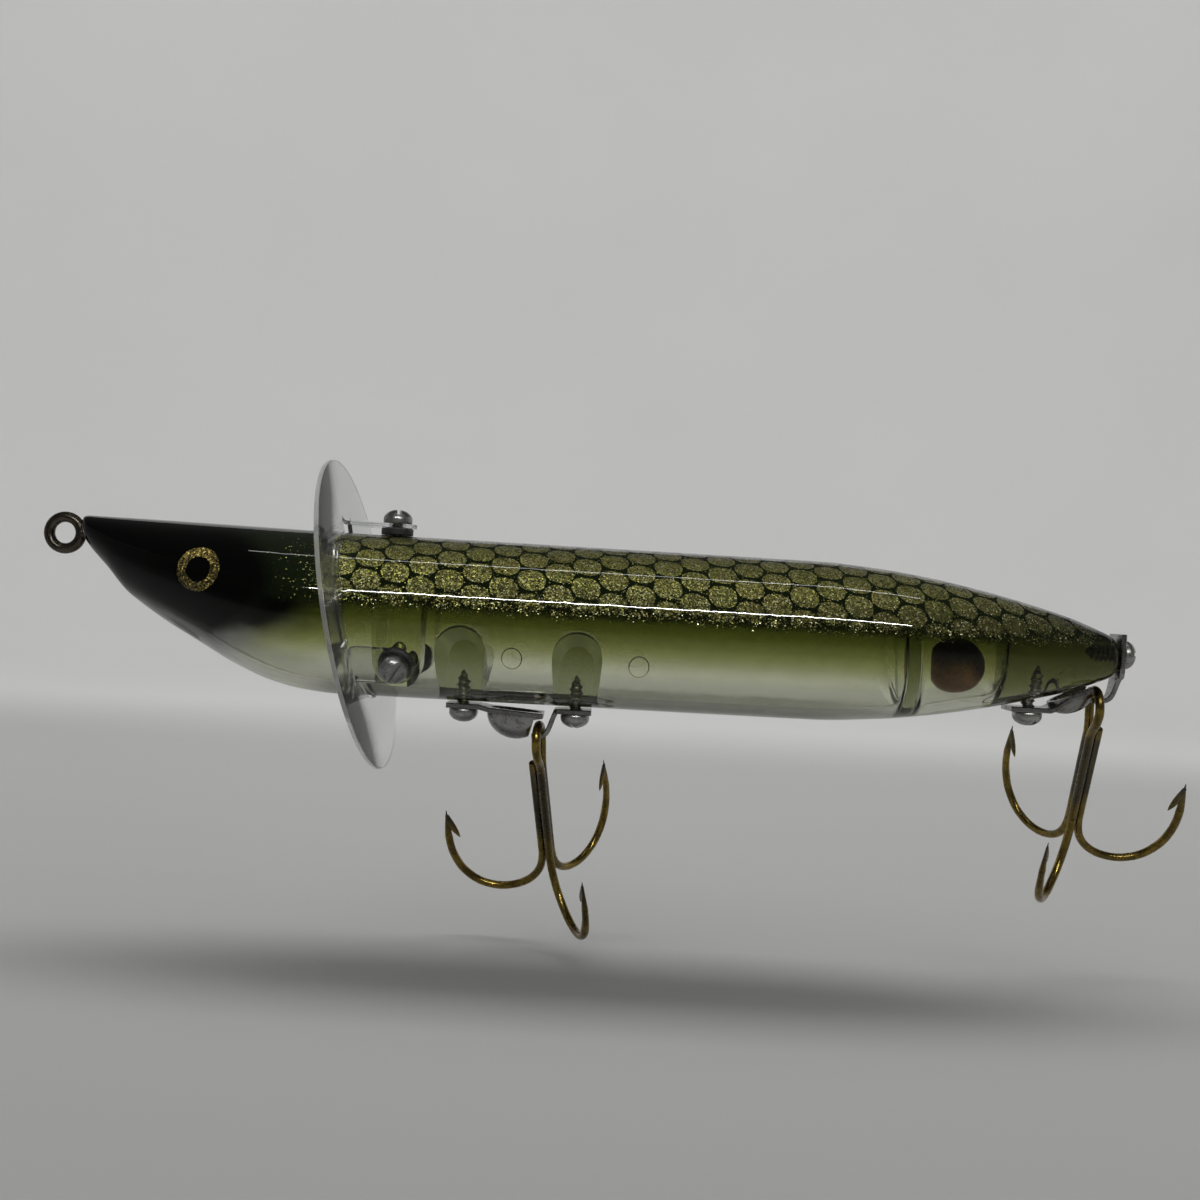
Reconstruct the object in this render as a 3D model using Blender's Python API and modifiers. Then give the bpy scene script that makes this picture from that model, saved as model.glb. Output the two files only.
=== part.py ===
"""Clear-bodied surface lure with a round collar, two treble hooks and a rattle ball.

Row frame, metres: the origin is the centre of the line-tie ring, +X runs from nose to tail,
+Z is the back of the lure and +Y its right flank. Inside this file a place on the lure is
given as a station s (from the nose tip, rearwards) and a height h (from the body axis, up).
"""

import math

import bmesh
import bpy
import numpy as np
from mathutils import Matrix, Vector

MM = 0.001

# ---- Driving dimensions --------------------------------------------------------------------
NOSE_X = 3.7 * MM  # nose tip behind the line-tie ring's centre
AXIS_Z = -10.4 * MM  # body axis below the line-tie ring's centre
GAP = 0.25 * MM  # clearance between neighbouring solids
SEAM_GAP = 0.3 * MM  # between the two body halves
WALL = 1.8 * MM
RING_SIDES = 32

# Outline of the body as (station, height) pairs, joined by smooth curves.
TOP_LINE = [(0, 13.4), (13, 13.3), (41, 13.0), (76, 12.9), (118, 12.75), (128, 12.1), (136, 11.1),
            (143, 9.85), (149, 8.55), (158.6, 6.05), (163, 4.45), (165.6, 3.3), (166.2, 2.6)]
BELLY_LINE = [(0, 8.4), (1.6, 6.8), (4.2, 4.4), (6.8, 1.9), (10.5, -0.7), (14.5, -3.2),
              (19, -5.6), (25.5, -9.1), (31.6, -11.5), (36.2, -12.5), (41, -13.0)]
HALF_WIDTH = [(0, 2.7), (1.6, 3.9), (4.2, 5.3), (6.8, 6.5), (10.5, 7.9), (14.5, 9.2),
              (19, 10.4), (25.5, 11.7), (31.6, 12.6), (36.2, 12.9), (41, 13.0)]
HEAD_END = 41.0  # behind this station the body is a turned shape around its axis
BODY_STATIONS = [0, 1.6, 4.2, 6.8, 10.5, 14.5, 19, 25.5, 31.6, 36.2, 41, 60, 90, 118, 123, 128,
                 132, 136, 140, 145, 149, 154, 158.6, 162, 164.5, 165.7, 166.2]
NOSE_RAKE, NOSE_RAKE_END = -0.3, 8.0  # the nose's front face leans back towards the belly
CAVITY_START, BULKHEAD_START, BULKHEAD_RAKE = 9.5, 130.8, -0.08
CHAMBER_START, CHAMBER_END, CHAMBER_ROUNDING = 132.6, 147.2, 3.0
HALF_CUT = (-10.0, 180.0, 20.0)  # stations and reach of the block that cuts the form in two

# Moulded screw bosses inside the belly, one at each front hanger screw.
FRONT_SCREW_S, REAR_SCREW_S = 62.1, 80.1
BELLY_BOSS_WALL, BELLY_BOSS_MIDDLE = (3.85, -0.9), (2.7, -2.4)  # half-width, top height
SIDE_BOSS = dict(start=48.7, end=56.1, top=5.0, bottom=-10.3, depth=5.0)
NOSE_BOSS = dict(start=8.0, end=14.0, half_width=3.5, bottom=7.0)
TOP_BOSS = dict(radius=3.6, bottom=6.5)
HEAD_RIB = dict(foot=(20.6, -8.5), top=(17.6, -0.5), thickness=3.2, half_width=4.0)

# Line tie
TIE_WIRE, TIE_RING = 1.7, 2.55  # wire diameter, centre-line radius of the ring
TIE_SHAFT_END = 12.0

# Screws: round head, slotted
HEAD_RADIUS, HEAD_HEIGHT, SHAFT_RADIUS = 2.32, 2.25, 1.05
SLOT_WIDTH, SLOT_DEPTH = 0.75, 0.9
COLLAR_SCREW_LENGTH, HANGER_SCREW_LENGTH, TAIL_SCREW_LENGTH = 8.1, 8.4, 7.0
SCREW_TAPER = 1.8  # length of the shaft's point
HOLE_EXTRA = 0.4  # how much deeper than its screw a hole is
HOLE_SIDES = 12

TAB_SCREW_GAP = 0.2  # between a tab and the screw head above it
HANGER_SCREW_SEATS = dict(front_hanger_screw_front=(FRONT_SCREW_S, -14.25),
                          front_hanger_screw_rear=(REAR_SCREW_S, -14.25),
                          tail_hanger_screw_belly=(152.9, -9.65))  # station and height
TAIL_SCREW_SEAT = (167.55, 0.5)

# Collar plate
COLLAR_S, COLLAR_RADIUS, COLLAR_RAKE = 44.4, 25.0, 12.0  # rake in degrees
SHEET = 0.7  # thickness of the clear sheet
COLLAR_HOLE = 13.35
TAB_WIDTH = 6.2
TAB_SCREW_S = dict(top=49.8, left=52.6, right=52.6)
TAB_ELEVATION = dict(top=90.0, left=210.0, right=-30.0)  # degrees in the Y-Z plane
BODY_RADIUS = 13.0
SPACER = dict(bottom=13.2, top=13.95, radius=2.55, bore=1.35)
TAB_UNDERSIDE = 14.15

# Hook hangers, all from the same strip
STRIP, STRIP_WIDTH, NECK_WIDTH = 0.8, 5.0, 1.8
STRIP_HOLE_DEPTH = 3.0  # a cutter this deep goes right through a strip or a tab

# Treble hooks
WIRE = 1.4  # diameter
EYE_RADIUS = 2.6  # of the wire's centre line
SHANK_OFFSET = 0.9  # of each shank from the treble's own axis
FRONT_EYE, REAR_EYE = (74.5, -18.8), (163.8, -8.0)
HANG = (0.10, 0.545, -0.83)  # the way both trebles hang as stored
HOOK_BEND = [(0.9, 26.0), (1.0, 29.0), (1.7, 32.0), (3.4, 34.5), (6.0, 36.2), (9.3, 36.85),
             (12.7, 35.9), (15.3, 33.3), (16.6, 30.2), (17.1, 27.2), (17.1, 23.6), (16.9, 19.5)]
POINT_START = 25.5  # distance from the eye's top at which the wire starts to taper
SINGLE_TOP = 7.9
BARB = dict(root=(16.9, 21.2), tip=(15.2, 25.8), radius=0.5)
DOUBLE_BRAZE_SHIFT = 0.45  # the eye's plane stands this far from the treble's axis
# Azimuth of each hook about the hanging direction, counted from +X towards -Y
FRONT_AZIMUTHS = dict(single=185.0, double=(305.0, 65.0))
REAR_AZIMUTHS = dict(single=3.4, double=(123.4, 243.4))

# Rattle
BALL_RADIUS = 4.65
BALL_CENTRE = (141.2, 1.9, -2.85)  # station, sideways, height: low on the side the hooks hang to

COLOURS = dict(
    clear=((0.80, 0.84, 0.78, 1), 0.08, 0.0),
    sheet=((0.78, 0.80, 0.80, 1), 0.12, 0.0),
    zinc=((0.58, 0.58, 0.57, 1), 0.35, 1.0),
    bronze=((0.30, 0.21, 0.08, 1), 0.28, 1.0),
    black_nickel=((0.12, 0.10, 0.09, 1), 0.30, 1.0),
    copper=((0.42, 0.24, 0.14, 1), 0.40, 1.0),
    black=((0.02, 0.02, 0.02, 1), 0.55, 0.0),
)


# ---- Helpers -------------------------------------------------------------------------------
def at(s, h, y=0.0):
    """World place of a point at station s, height h and sideways y, all in millimetres."""
    return Vector((s * MM + NOSE_X, y * MM, h * MM + AXIS_Z))


def material(name):
    """A Principled material with the colour, roughness and metallic value of that finish."""
    if name in bpy.data.materials:
        return bpy.data.materials[name]
    colour, roughness, metallic = COLOURS[name]
    made = bpy.data.materials.new(name)
    made.use_nodes = True
    shader = made.node_tree.nodes["Principled BSDF"]
    shader.inputs["Base Color"].default_value = colour
    shader.inputs["Roughness"].default_value = roughness
    shader.inputs["Metallic"].default_value = metallic
    return made


def add(name, mesh, finish=None):
    """Puts a mesh in the parts collection, or with no finish among the hidden cutters."""
    made = bpy.data.objects.new(name, mesh)
    if finish:
        PARTS.objects.link(made)
        mesh.materials.append(material(finish))
        mesh.shade_smooth()
        mesh.set_sharp_from_angle(angle=math.radians(35))
    else:
        CUTTERS.objects.link(made)
        made.hide_render = True
        made.display_type = "WIRE"
    return made


def mesh_from(name, bm):
    """A mesh from a bmesh, with its faces pointing out."""
    bmesh.ops.recalc_face_normals(bm, faces=bm.faces)
    mesh = bpy.data.meshes.new(name)
    bm.to_mesh(mesh)
    bm.free()
    return mesh


def boolean(target, tool, operation="DIFFERENCE"):
    """Cuts target by tool, or joins tool to it."""
    step = target.modifiers.new(tool.name, "BOOLEAN")
    step.operation = operation
    step.object = tool
    step.solver = "EXACT"


def loft(name, rings):
    """A closed mesh through rings of the same number of points, capped at both ends."""
    bm = bmesh.new()
    loops = [[bm.verts.new(p) for p in ring] for ring in rings]
    for a, b in zip(loops, loops[1:]):
        for i in range(len(a)):
            j = (i + 1) % len(a)
            bm.faces.new((a[i], a[j], b[j], b[i]))
    bm.faces.new(loops[0])
    bm.faces.new(loops[-1])
    return mesh_from(name, bm)


def prism(name, outline, half_width):
    """An (s, h) outline pushed out to half_width millimetres on both sides of the seam."""
    return loft(name, [[at(s, h, y) for s, h in outline] for y in (-half_width, half_width)])


def box(name, low, high):
    """A box between two corners given as (s, y, h)."""
    bm = bmesh.new()
    bmesh.ops.create_cube(bm, size=1.0)
    a, b = at(low[0], low[2], low[1]), at(high[0], high[2], high[1])
    bmesh.ops.scale(bm, vec=b - a, verts=bm.verts)
    bmesh.ops.translate(bm, vec=(a + b) / 2, verts=bm.verts)
    return mesh_from(name, bm)


def rod(name, start, end, radius, sides=16):
    """A cylinder between two world places, radius in millimetres."""
    bm = bmesh.new()
    along = end - start
    turn = along.to_track_quat("Z", "Y").to_matrix().to_4x4()
    bmesh.ops.create_cone(bm, cap_ends=True, segments=sides, radius1=radius * MM,
                          radius2=radius * MM, depth=along.length,
                          matrix=Matrix.Translation((start + end) / 2) @ turn)
    return mesh_from(name, bm)


def turned(name, profile, place, direction, finish, steps=16):
    """Turns an (r, z) profile, listed from top to bottom, about an axis through place."""
    mesh = bpy.data.meshes.new(name)
    points = [(r * MM, 0.0, z * MM) for r, z in profile]
    closed = profile[0][0] > 0
    edges = [(i, i + 1) for i in range(len(points) - 1)] + ([(len(points) - 1, 0)] if closed else [])
    mesh.from_pydata(points, edges, [])
    made = add(name, mesh, finish)
    made.matrix_world = Matrix.Translation(place) @ direction.to_track_quat("Z", "Y").to_matrix().to_4x4()
    spin = made.modifiers.new("turn", "SCREW")
    spin.steps = spin.render_steps = steps
    spin.use_merge_vertices = True
    spin.merge_threshold = 0.00001
    return made


def wire(name, points, radii, finish):
    """A round wire through world places, with its radius in millimetres at each, as a mesh."""
    curve = bpy.data.curves.new(name, "CURVE")
    curve.dimensions = "3D"
    curve.bevel_depth = MM
    curve.bevel_resolution = 2
    curve.use_fill_caps = True
    spline = curve.splines.new("POLY")
    spline.points.add(len(points) - 1)
    for point, place, radius in zip(spline.points, points, radii):
        point.co = (*place, 1.0)
        point.radius = radius
    holder = bpy.data.objects.new(name, curve)
    bpy.context.scene.collection.objects.link(holder)
    ready = holder.evaluated_get(bpy.context.evaluated_depsgraph_get())
    mesh = bpy.data.meshes.new_from_object(ready)
    bpy.data.objects.remove(holder)
    bpy.data.curves.remove(curve)
    bm = bmesh.new()
    bm.from_mesh(mesh)
    bmesh.ops.remove_doubles(bm, verts=bm.verts, dist=0.000005)
    bpy.data.meshes.remove(mesh)
    return add(name, mesh_from(name, bm), finish)


def ribbon(name, path, widths, thickness):
    """A flat strip along an (s, h) path in the seam plane, with its width at each point."""
    rings = []
    for i, (s, h) in enumerate(path):
        before, after = path[max(i - 1, 0)], path[min(i + 1, len(path) - 1)]
        run = Vector((after[0] - before[0], after[1] - before[1])).normalized()
        side, half = Vector((-run.y, run.x)) * thickness / 2, widths[i] / 2
        rings.append([at(s + side.x * k, h + side.y * k, y)
                      for k, y in ((1, -half), (1, half), (-1, half), (-1, -half))])
    return loft(name, rings)


def curve_through(points):
    """A smooth function through (x, value) pairs: cubic steps whose slope never overshoots."""
    x, v = np.array(points, float).T
    rise = np.diff(v) / np.diff(x)
    inner = np.where(rise[:-1] * rise[1:] > 0, 2 * rise[:-1] * rise[1:] / (rise[:-1] + rise[1:] + 1e-12), 0)
    slope = np.concatenate(([rise[0]], inner, [rise[-1]]))

    def value(s):
        i = int(np.clip(np.searchsorted(x, s) - 1, 0, len(x) - 2))
        step = x[i + 1] - x[i]
        t = (s - x[i]) / step
        return ((1 + 2 * t) * (1 - t) ** 2 * v[i] + t * (1 - t) ** 2 * step * slope[i]
                + t * t * (3 - 2 * t) * v[i + 1] + t * t * (t - 1) * step * slope[i + 1])

    return value


# ---- Body ----------------------------------------------------------------------------------
top_at, belly_at, width_at = (curve_through(p) for p in (TOP_LINE, BELLY_LINE, HALF_WIDTH))


def body_ring(s, inset=0.0, rake=0.0, shrink=0.0):
    """The body's cross-section at a station, inset by a wall and shrunk further for rounding."""
    top = top_at(s)
    belly = belly_at(s) if s < HEAD_END else -top
    width = width_at(s) if s < HEAD_END else top
    middle, half = (top + belly) / 2, (top - belly) / 2 - inset - shrink
    lean = NOSE_RAKE * max(0.0, 1 - s / NOSE_RAKE_END)
    ring = []
    for i in range(RING_SIDES):
        t = 2 * math.pi * i / RING_SIDES
        h = middle + half * math.cos(t)
        y = (width - inset - shrink) * math.sin(t)
        ring.append(at(s + lean * (h - middle) + rake * h, h, y))
    return ring


def cavity(name, start, end, rakes, rounding=0.0):
    """The hollow between two stations, with the body's wall left around it."""
    inside = [s for s in BODY_STATIONS if start + 1 < s < end - rounding - 1]
    rings = [body_ring(start, WALL / MM, rakes[0])]
    rings += [body_ring(s, WALL / MM) for s in inside]
    for share in (0.0, 0.5, 0.8, 0.95, 1.0) if rounding else (1.0,):
        drop = rounding * (1 - math.sqrt(1 - share * share))
        rings.append(body_ring(end - rounding * (1 - share), WALL / MM, rakes[1], drop * 0.7))
    return add(name, loft(name, rings))


def tombstone(s, half_width, top, bottom, steps=8):
    """A round-topped outline of (s, h) points standing on bottom."""
    arc = [(s - half_width * math.cos(math.pi * i / steps),
            top - half_width + half_width * math.sin(math.pi * i / steps)) for i in range(steps + 1)]
    return [(s - half_width, bottom)] + arc + [(s + half_width, bottom)]


def radial(name):
    """Unit vector out of the body at a collar tab."""
    angle = math.radians(TAB_ELEVATION[name])
    return Vector((0, math.cos(angle), math.sin(angle)))


def make_bosses():
    """Solids that the cavity leaves standing: bosses, ribs and the block behind the nose."""
    bosses = []
    for label, s in (("front", FRONT_SCREW_S), ("rear", REAR_SCREW_S)):
        for side, sign in (("left", -1), ("right", 1)):
            middle = tombstone(s, *BELLY_BOSS_MIDDLE, -BODY_RADIUS)
            wall = tombstone(s, *BELLY_BOSS_WALL, -BODY_RADIUS)
            rings = [[at(*p, sign * -0.4) for p in middle], [at(*p, sign * 12.9) for p in wall]]
            bosses.append(add(f"belly_boss_{label}_{side}", loft("boss", rings)))
    shape = SIDE_BOSS
    middle, half = (shape["start"] + shape["end"]) / 2, (shape["end"] - shape["start"]) / 2
    outline = [(s, -h) for s, h in tombstone(middle, half, -shape["bottom"], -shape["top"])]
    for side, sign in (("left", -1), ("right", 1)):
        rings = [[at(s, h, sign * y) for s, h in outline] for y in (shape["depth"], 13.5)]
        bosses.append(add(f"side_boss_{side}", loft("boss", rings)))
    s = TAB_SCREW_S["top"]
    bosses.append(add("top_boss", rod("boss", at(s, TOP_BOSS["bottom"]), at(s, 13.5), TOP_BOSS["radius"])))
    nose = NOSE_BOSS
    bosses.append(add("nose_boss", box("boss", (nose["start"], -nose["half_width"], nose["bottom"]),
                                       (nose["end"], nose["half_width"], 14.0))))
    (s0, h0), (s1, h1) = HEAD_RIB["foot"], HEAD_RIB["top"]
    across = Vector((h1 - h0, s0 - s1)).normalized() * HEAD_RIB["thickness"] / 2
    outline = [(s0 - across.x, h0 - across.y), (s1 - across.x, h1 - across.y),
               (s1 + across.x, h1 + across.y), (s0 + across.x, h0 + across.y)]
    bosses.append(add("head_rib", prism("rib", outline, HEAD_RIB["half_width"])))
    return bosses


def screw_places():
    """Seat of each screw's head, the way the head faces, and the shaft's length."""
    tab_seat = TAB_UNDERSIDE + SHEET + TAB_SCREW_GAP
    places = {}
    for name in TAB_SCREW_S:
        places[f"collar_screw_{name}"] = (at(TAB_SCREW_S[name], 0) + radial(name) * tab_seat * MM,
                                          radial(name), COLLAR_SCREW_LENGTH)
    down = Vector((0, 0, -1))
    for name, seat in HANGER_SCREW_SEATS.items():
        places[name] = (at(*seat), down, HANGER_SCREW_LENGTH)
    places["tail_hanger_screw_tail"] = (at(*TAIL_SCREW_SEAT), Vector((1, 0, 0)), TAIL_SCREW_LENGTH)
    return places


def screw_hole(seat, out, depth):
    """A cutter for a screw's shaft, from 1 mm above its seat to a depth below it."""
    return rod("hole", seat + out * MM, seat - out * depth * MM, SHAFT_RADIUS + GAP / MM, HOLE_SIDES)


def make_body():
    """Two moulded halves, each open at the seam, cut from one outer form."""
    main = cavity("main_hollow", CAVITY_START, BULKHEAD_START, (0.0, BULKHEAD_RAKE))
    chamber = cavity("rattle_chamber", CHAMBER_START, CHAMBER_END, (BULKHEAD_RAKE, 0.0),
                     CHAMBER_ROUNDING)
    for boss in make_bosses():
        boolean(main, boss)
    holes = []
    for name, (seat, out, length) in screw_places().items():
        holes.append(add(f"hole_{name}", screw_hole(seat, out, length + HOLE_EXTRA)))
    holes.append(add("hole_line_tie", rod("hole", at(-3.0, -AXIS_Z / MM),
                                          at(TIE_SHAFT_END + HOLE_EXTRA, -AXIS_Z / MM),
                                          TIE_WIRE / 2 + GAP / MM, HOLE_SIDES)))
    outer = loft("body", [body_ring(s) for s in BODY_STATIONS])
    before, behind, reach = HALF_CUT
    for side, sign in (("left", -1), ("right", 1)):
        half = add(f"body_{side}_half", outer.copy(), "clear")
        edges = sorted((-sign * reach, sign * SEAM_GAP / MM / 2))
        away = add(f"cut_beyond_{side}", box("cut", (before, edges[0], -reach), (behind, edges[1], reach)))
        for cutter in (away, main, chamber, *holes):
            boolean(half, cutter)


# ---- Collar --------------------------------------------------------------------------------
def make_collar():
    """Raked round plate with three tabs bent back along the body, each under a screw."""
    lean = Matrix.Rotation(math.radians(90 - COLLAR_RAKE), 4, "Y")
    bm = bmesh.new()
    bmesh.ops.create_cone(bm, cap_ends=True, segments=64, radius1=COLLAR_RADIUS * MM,
                          radius2=COLLAR_RADIUS * MM, depth=SHEET * MM,
                          matrix=Matrix.Translation(at(COLLAR_S, 0)) @ lean)
    plate = add("collar_plate", mesh_from("collar_plate", bm), "sheet")
    bore = add("collar_bore", rod("bore", at(COLLAR_S - 12, 0), at(COLLAR_S + 12, 0), COLLAR_HOLE, 48))
    boolean(plate, bore)
    for name, s in TAB_SCREW_S.items():
        out = radial(name)
        side = Vector((1, 0, 0)).cross(out)
        half = TAB_WIDTH / 2
        heights = [out.z * TAB_UNDERSIDE + side.z * w for w in (-half, half)]
        feet = [COLLAR_S - h * math.tan(math.radians(COLLAR_RAKE)) for h in heights]
        outline = [(feet[0], -half)]
        outline += [(s + half * math.sin(a), -half * math.cos(a))
                    for a in (math.pi * i / 12 for i in range(13))]
        outline += [(feet[1], half)]
        rings = [[at(x, 0) + (side * w + out * r) * MM for x, w in outline]
                 for r in (TAB_UNDERSIDE, TAB_UNDERSIDE + SHEET)]
        tab = add(f"tab_{name}", loft("tab", rings))
        boolean(plate, tab, "UNION")
        seat = at(s, 0) + out * (TAB_UNDERSIDE + SHEET) * MM
        boolean(plate, add(f"tab_hole_{name}", screw_hole(seat, out, STRIP_HOLE_DEPTH)))
        ring = SPACER
        turned(f"collar_spacer_{name}",
               [(ring["bore"], ring["top"]), (ring["radius"], ring["top"]),
                (ring["radius"], ring["bottom"]), (ring["bore"], ring["bottom"])],
               at(s, 0), out, "black")


# ---- Screws and line tie -------------------------------------------------------------------
def make_screws():
    """Round-head slotted screws, each a turned form with a slot across its head."""
    dome = [(HEAD_RADIUS * math.sin(a), HEAD_HEIGHT * (0.25 + 0.75 * math.cos(a)))
            for a in (math.pi / 2 * i / 5 for i in range(6))]
    dome[0] = (0.0, HEAD_HEIGHT)
    for name, (seat, out, length) in screw_places().items():
        profile = dome + [(HEAD_RADIUS * 0.96, 0.0), (SHAFT_RADIUS, 0.0),
                          (SHAFT_RADIUS, -length + SCREW_TAPER), (0.0, -length)]
        screw = turned(name, profile, seat, out, "zinc")
        bm = bmesh.new()
        bmesh.ops.create_cube(bm, size=1.0)
        bmesh.ops.scale(bm, vec=Vector((SLOT_WIDTH, 6.0, 2 * SLOT_DEPTH)) * MM, verts=bm.verts)
        slot = add(f"slot_{name}", mesh_from("slot", bm))
        turn = out.to_track_quat("Z", "Y").to_matrix().to_4x4()
        slot.matrix_world = Matrix.Translation(seat + out * HEAD_HEIGHT * MM) @ turn
        boolean(screw, slot)


def make_line_tie():
    """A screw eye: a round wire ring on a shaft that runs into the nose."""
    bpy.ops.mesh.primitive_torus_add(major_radius=TIE_RING * MM, minor_radius=TIE_WIRE / 2 * MM,
                                     major_segments=28, minor_segments=12,
                                     rotation=(math.pi / 2, 0, 0))
    ring = bpy.context.object
    mesh = ring.data.copy()
    mesh.transform(ring.matrix_world)
    bpy.data.objects.remove(ring)
    tie = add("line_tie_screw_eye", mesh, "black_nickel")
    shaft = add("tie_shaft", rod("shaft", Vector((TIE_RING * MM, 0, 0)),
                                 at(TIE_SHAFT_END, -AXIS_Z / MM), TIE_WIRE / 2 * 0.97, 12))
    boolean(tie, shaft, "UNION")


# ---- Hook hangers --------------------------------------------------------------------------
def scoop(name, path, widths, cup_centre, cup_size, cup_lean, mouth, screw):
    """A strip under a screw that ends in a pressed cup, open towards the hook's eye."""
    strip = add(name, ribbon(name, path, widths, STRIP), "zinc")
    turn = Matrix.Rotation(math.radians(cup_lean), 4, "Y")
    for label, inset in (("outside", 0.0), ("inside", 0.6)):
        bm = bmesh.new()
        bmesh.ops.create_uvsphere(bm, u_segments=24, v_segments=14, radius=1.0)
        size = Vector(tuple((v - inset) * MM for v in cup_size))
        bmesh.ops.scale(bm, vec=size, verts=bm.verts)
        cup = add(f"{name}_cup_{label}", mesh_from("cup", bm))
        cup.matrix_world = Matrix.Translation(at(*cup_centre)) @ turn
        if label == "outside":
            lid = add(f"{name}_lid", box("lid", (-30, -10, 0.4), (30, 10, 20)))
            lid.matrix_world = (Matrix.Translation(at(*cup_centre)) @ turn
                                @ Matrix.Translation(-at(0, 0)))
            boolean(cup, lid)
        boolean(strip, cup, "UNION" if label == "outside" else "DIFFERENCE")
    boolean(strip, add(f"{name}_mouth", prism("mouth", mouth, 6.0)))
    boolean(strip, add(f"{name}_hole", screw_hole(*screw[:2], STRIP_HOLE_DEPTH)))


def loop(name, path, widths, screw):
    """A strip under a screw, bent so that its narrow end passes through the hook's eye."""
    strip = add(name, ribbon(name, path, widths, STRIP), "zinc")
    boolean(strip, add(f"{name}_hole", screw_hole(*screw[:2], STRIP_HOLE_DEPTH)))


def make_hangers():
    """The belly hanger and the tail hanger, each a scoop and a loop."""
    screws = screw_places()
    scoop("front_hanger_scoop",
          [(59.5, -13.65), (64.6, -13.65), (66.5, -14.0), (75.2, -14.55)],
          [STRIP_WIDTH, STRIP_WIDTH, 6.4, 6.4],
          (70.6, -14.5), (4.7, 3.1, 4.1), 4.0,
          [(75.1, -13.0), (75.0, -15.05), (73.45, -15.3), (72.5, -19.5), (80.0, -19.5), (80.0, -13.0)],
          screws["front_hanger_screw_front"])
    loop("front_hanger_loop",
         [(82.7, -13.65), (77.6, -13.65), (76.9, -14.1), (75.9, -16.9), (75.2, -17.75),
          (74.5, -17.95), (73.3, -18.0)],
         [STRIP_WIDTH, STRIP_WIDTH, 3.4, 2.2, NECK_WIDTH, NECK_WIDTH, NECK_WIDTH],
         screws["front_hanger_screw_rear"])
    scoop("tail_hanger_scoop",
          [(149.5, -9.05), (155.9, -9.05), (156.8, -8.7), (159.7, -6.45), (162.7, -5.3)],
          [STRIP_WIDTH, STRIP_WIDTH, STRIP_WIDTH, 4.6, 4.6],
          (159.7, -6.6), (3.9, 2.4, 2.7), -24.0,
          [(162.5, -3.0), (162.45, -6.0), (162.0, -10.0), (168.0, -10.0), (168.0, -3.0)],
          screws["tail_hanger_screw_belly"])
    loop("tail_hanger_loop",
         [(166.9, 3.8), (166.9, -2.4), (166.75, -3.6), (166.05, -6.1), (165.2, -6.95),
          (163.8, -7.15), (162.9, -7.15)],
         [STRIP_WIDTH, STRIP_WIDTH, 3.2, 2.2, NECK_WIDTH, NECK_WIDTH, NECK_WIDTH],
         screws["tail_hanger_screw_tail"])


# ---- Treble hooks --------------------------------------------------------------------------
class Treble:
    """Places on a treble: radius and azimuth about its axis, and distance below the eye's top."""

    def __init__(self, eye, azimuths):
        self.azimuths = azimuths
        self.down = Vector(HANG).normalized()
        self.ahead = (Vector((1, 0, 0)) - self.down * self.down.x).normalized()
        self.near = self.down.cross(self.ahead)
        self.eye = at(*eye)
        self.open = self.out(azimuths["single"] + 180)
        self.across = self.down.cross(self.open)
        self.top = EYE_RADIUS + WIRE / 2

    def out(self, azimuth):
        a = math.radians(azimuth)
        return self.ahead * math.cos(a) + self.near * math.sin(a)

    def place(self, radius, azimuth, below):
        axis = self.eye - self.open * DOUBLE_BRAZE_SHIFT * MM
        return axis + (self.down * (below - self.top) + self.out(azimuth) * radius) * MM

    def loop_place(self, across, below):
        return self.eye + (self.down * (below - self.top) + self.across * across) * MM

    def hook(self, azimuth):
        """Wire from the shank round the bend to the point, with its radius at each place."""
        points = [self.place(r, azimuth, z) for r, z in HOOK_BEND]
        last = HOOK_BEND[-1][1]
        radii = [WIRE / 2 * (min(1.0, 0.1 + 0.9 * (z - last) / (POINT_START - last)) if r > 10 else 1.0)
                 for r, z in HOOK_BEND]
        return points, radii

    def barb(self, name, azimuth):
        """A thin wedge that joins the wire behind the point and stands inwards."""
        root, tip = self.place(BARB["root"][0], azimuth, BARB["root"][1]), \
            self.place(BARB["tip"][0], azimuth, BARB["tip"][1])
        along = tip - root
        bm = bmesh.new()
        bmesh.ops.create_cone(bm, cap_ends=True, segments=6, radius1=BARB["radius"] * MM,
                              radius2=0.08 * MM, depth=along.length,
                              matrix=Matrix.Translation((root + tip) / 2)
                              @ along.to_track_quat("Z", "Y").to_matrix().to_4x4())
        return add(name, mesh_from("barb", bm))


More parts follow.
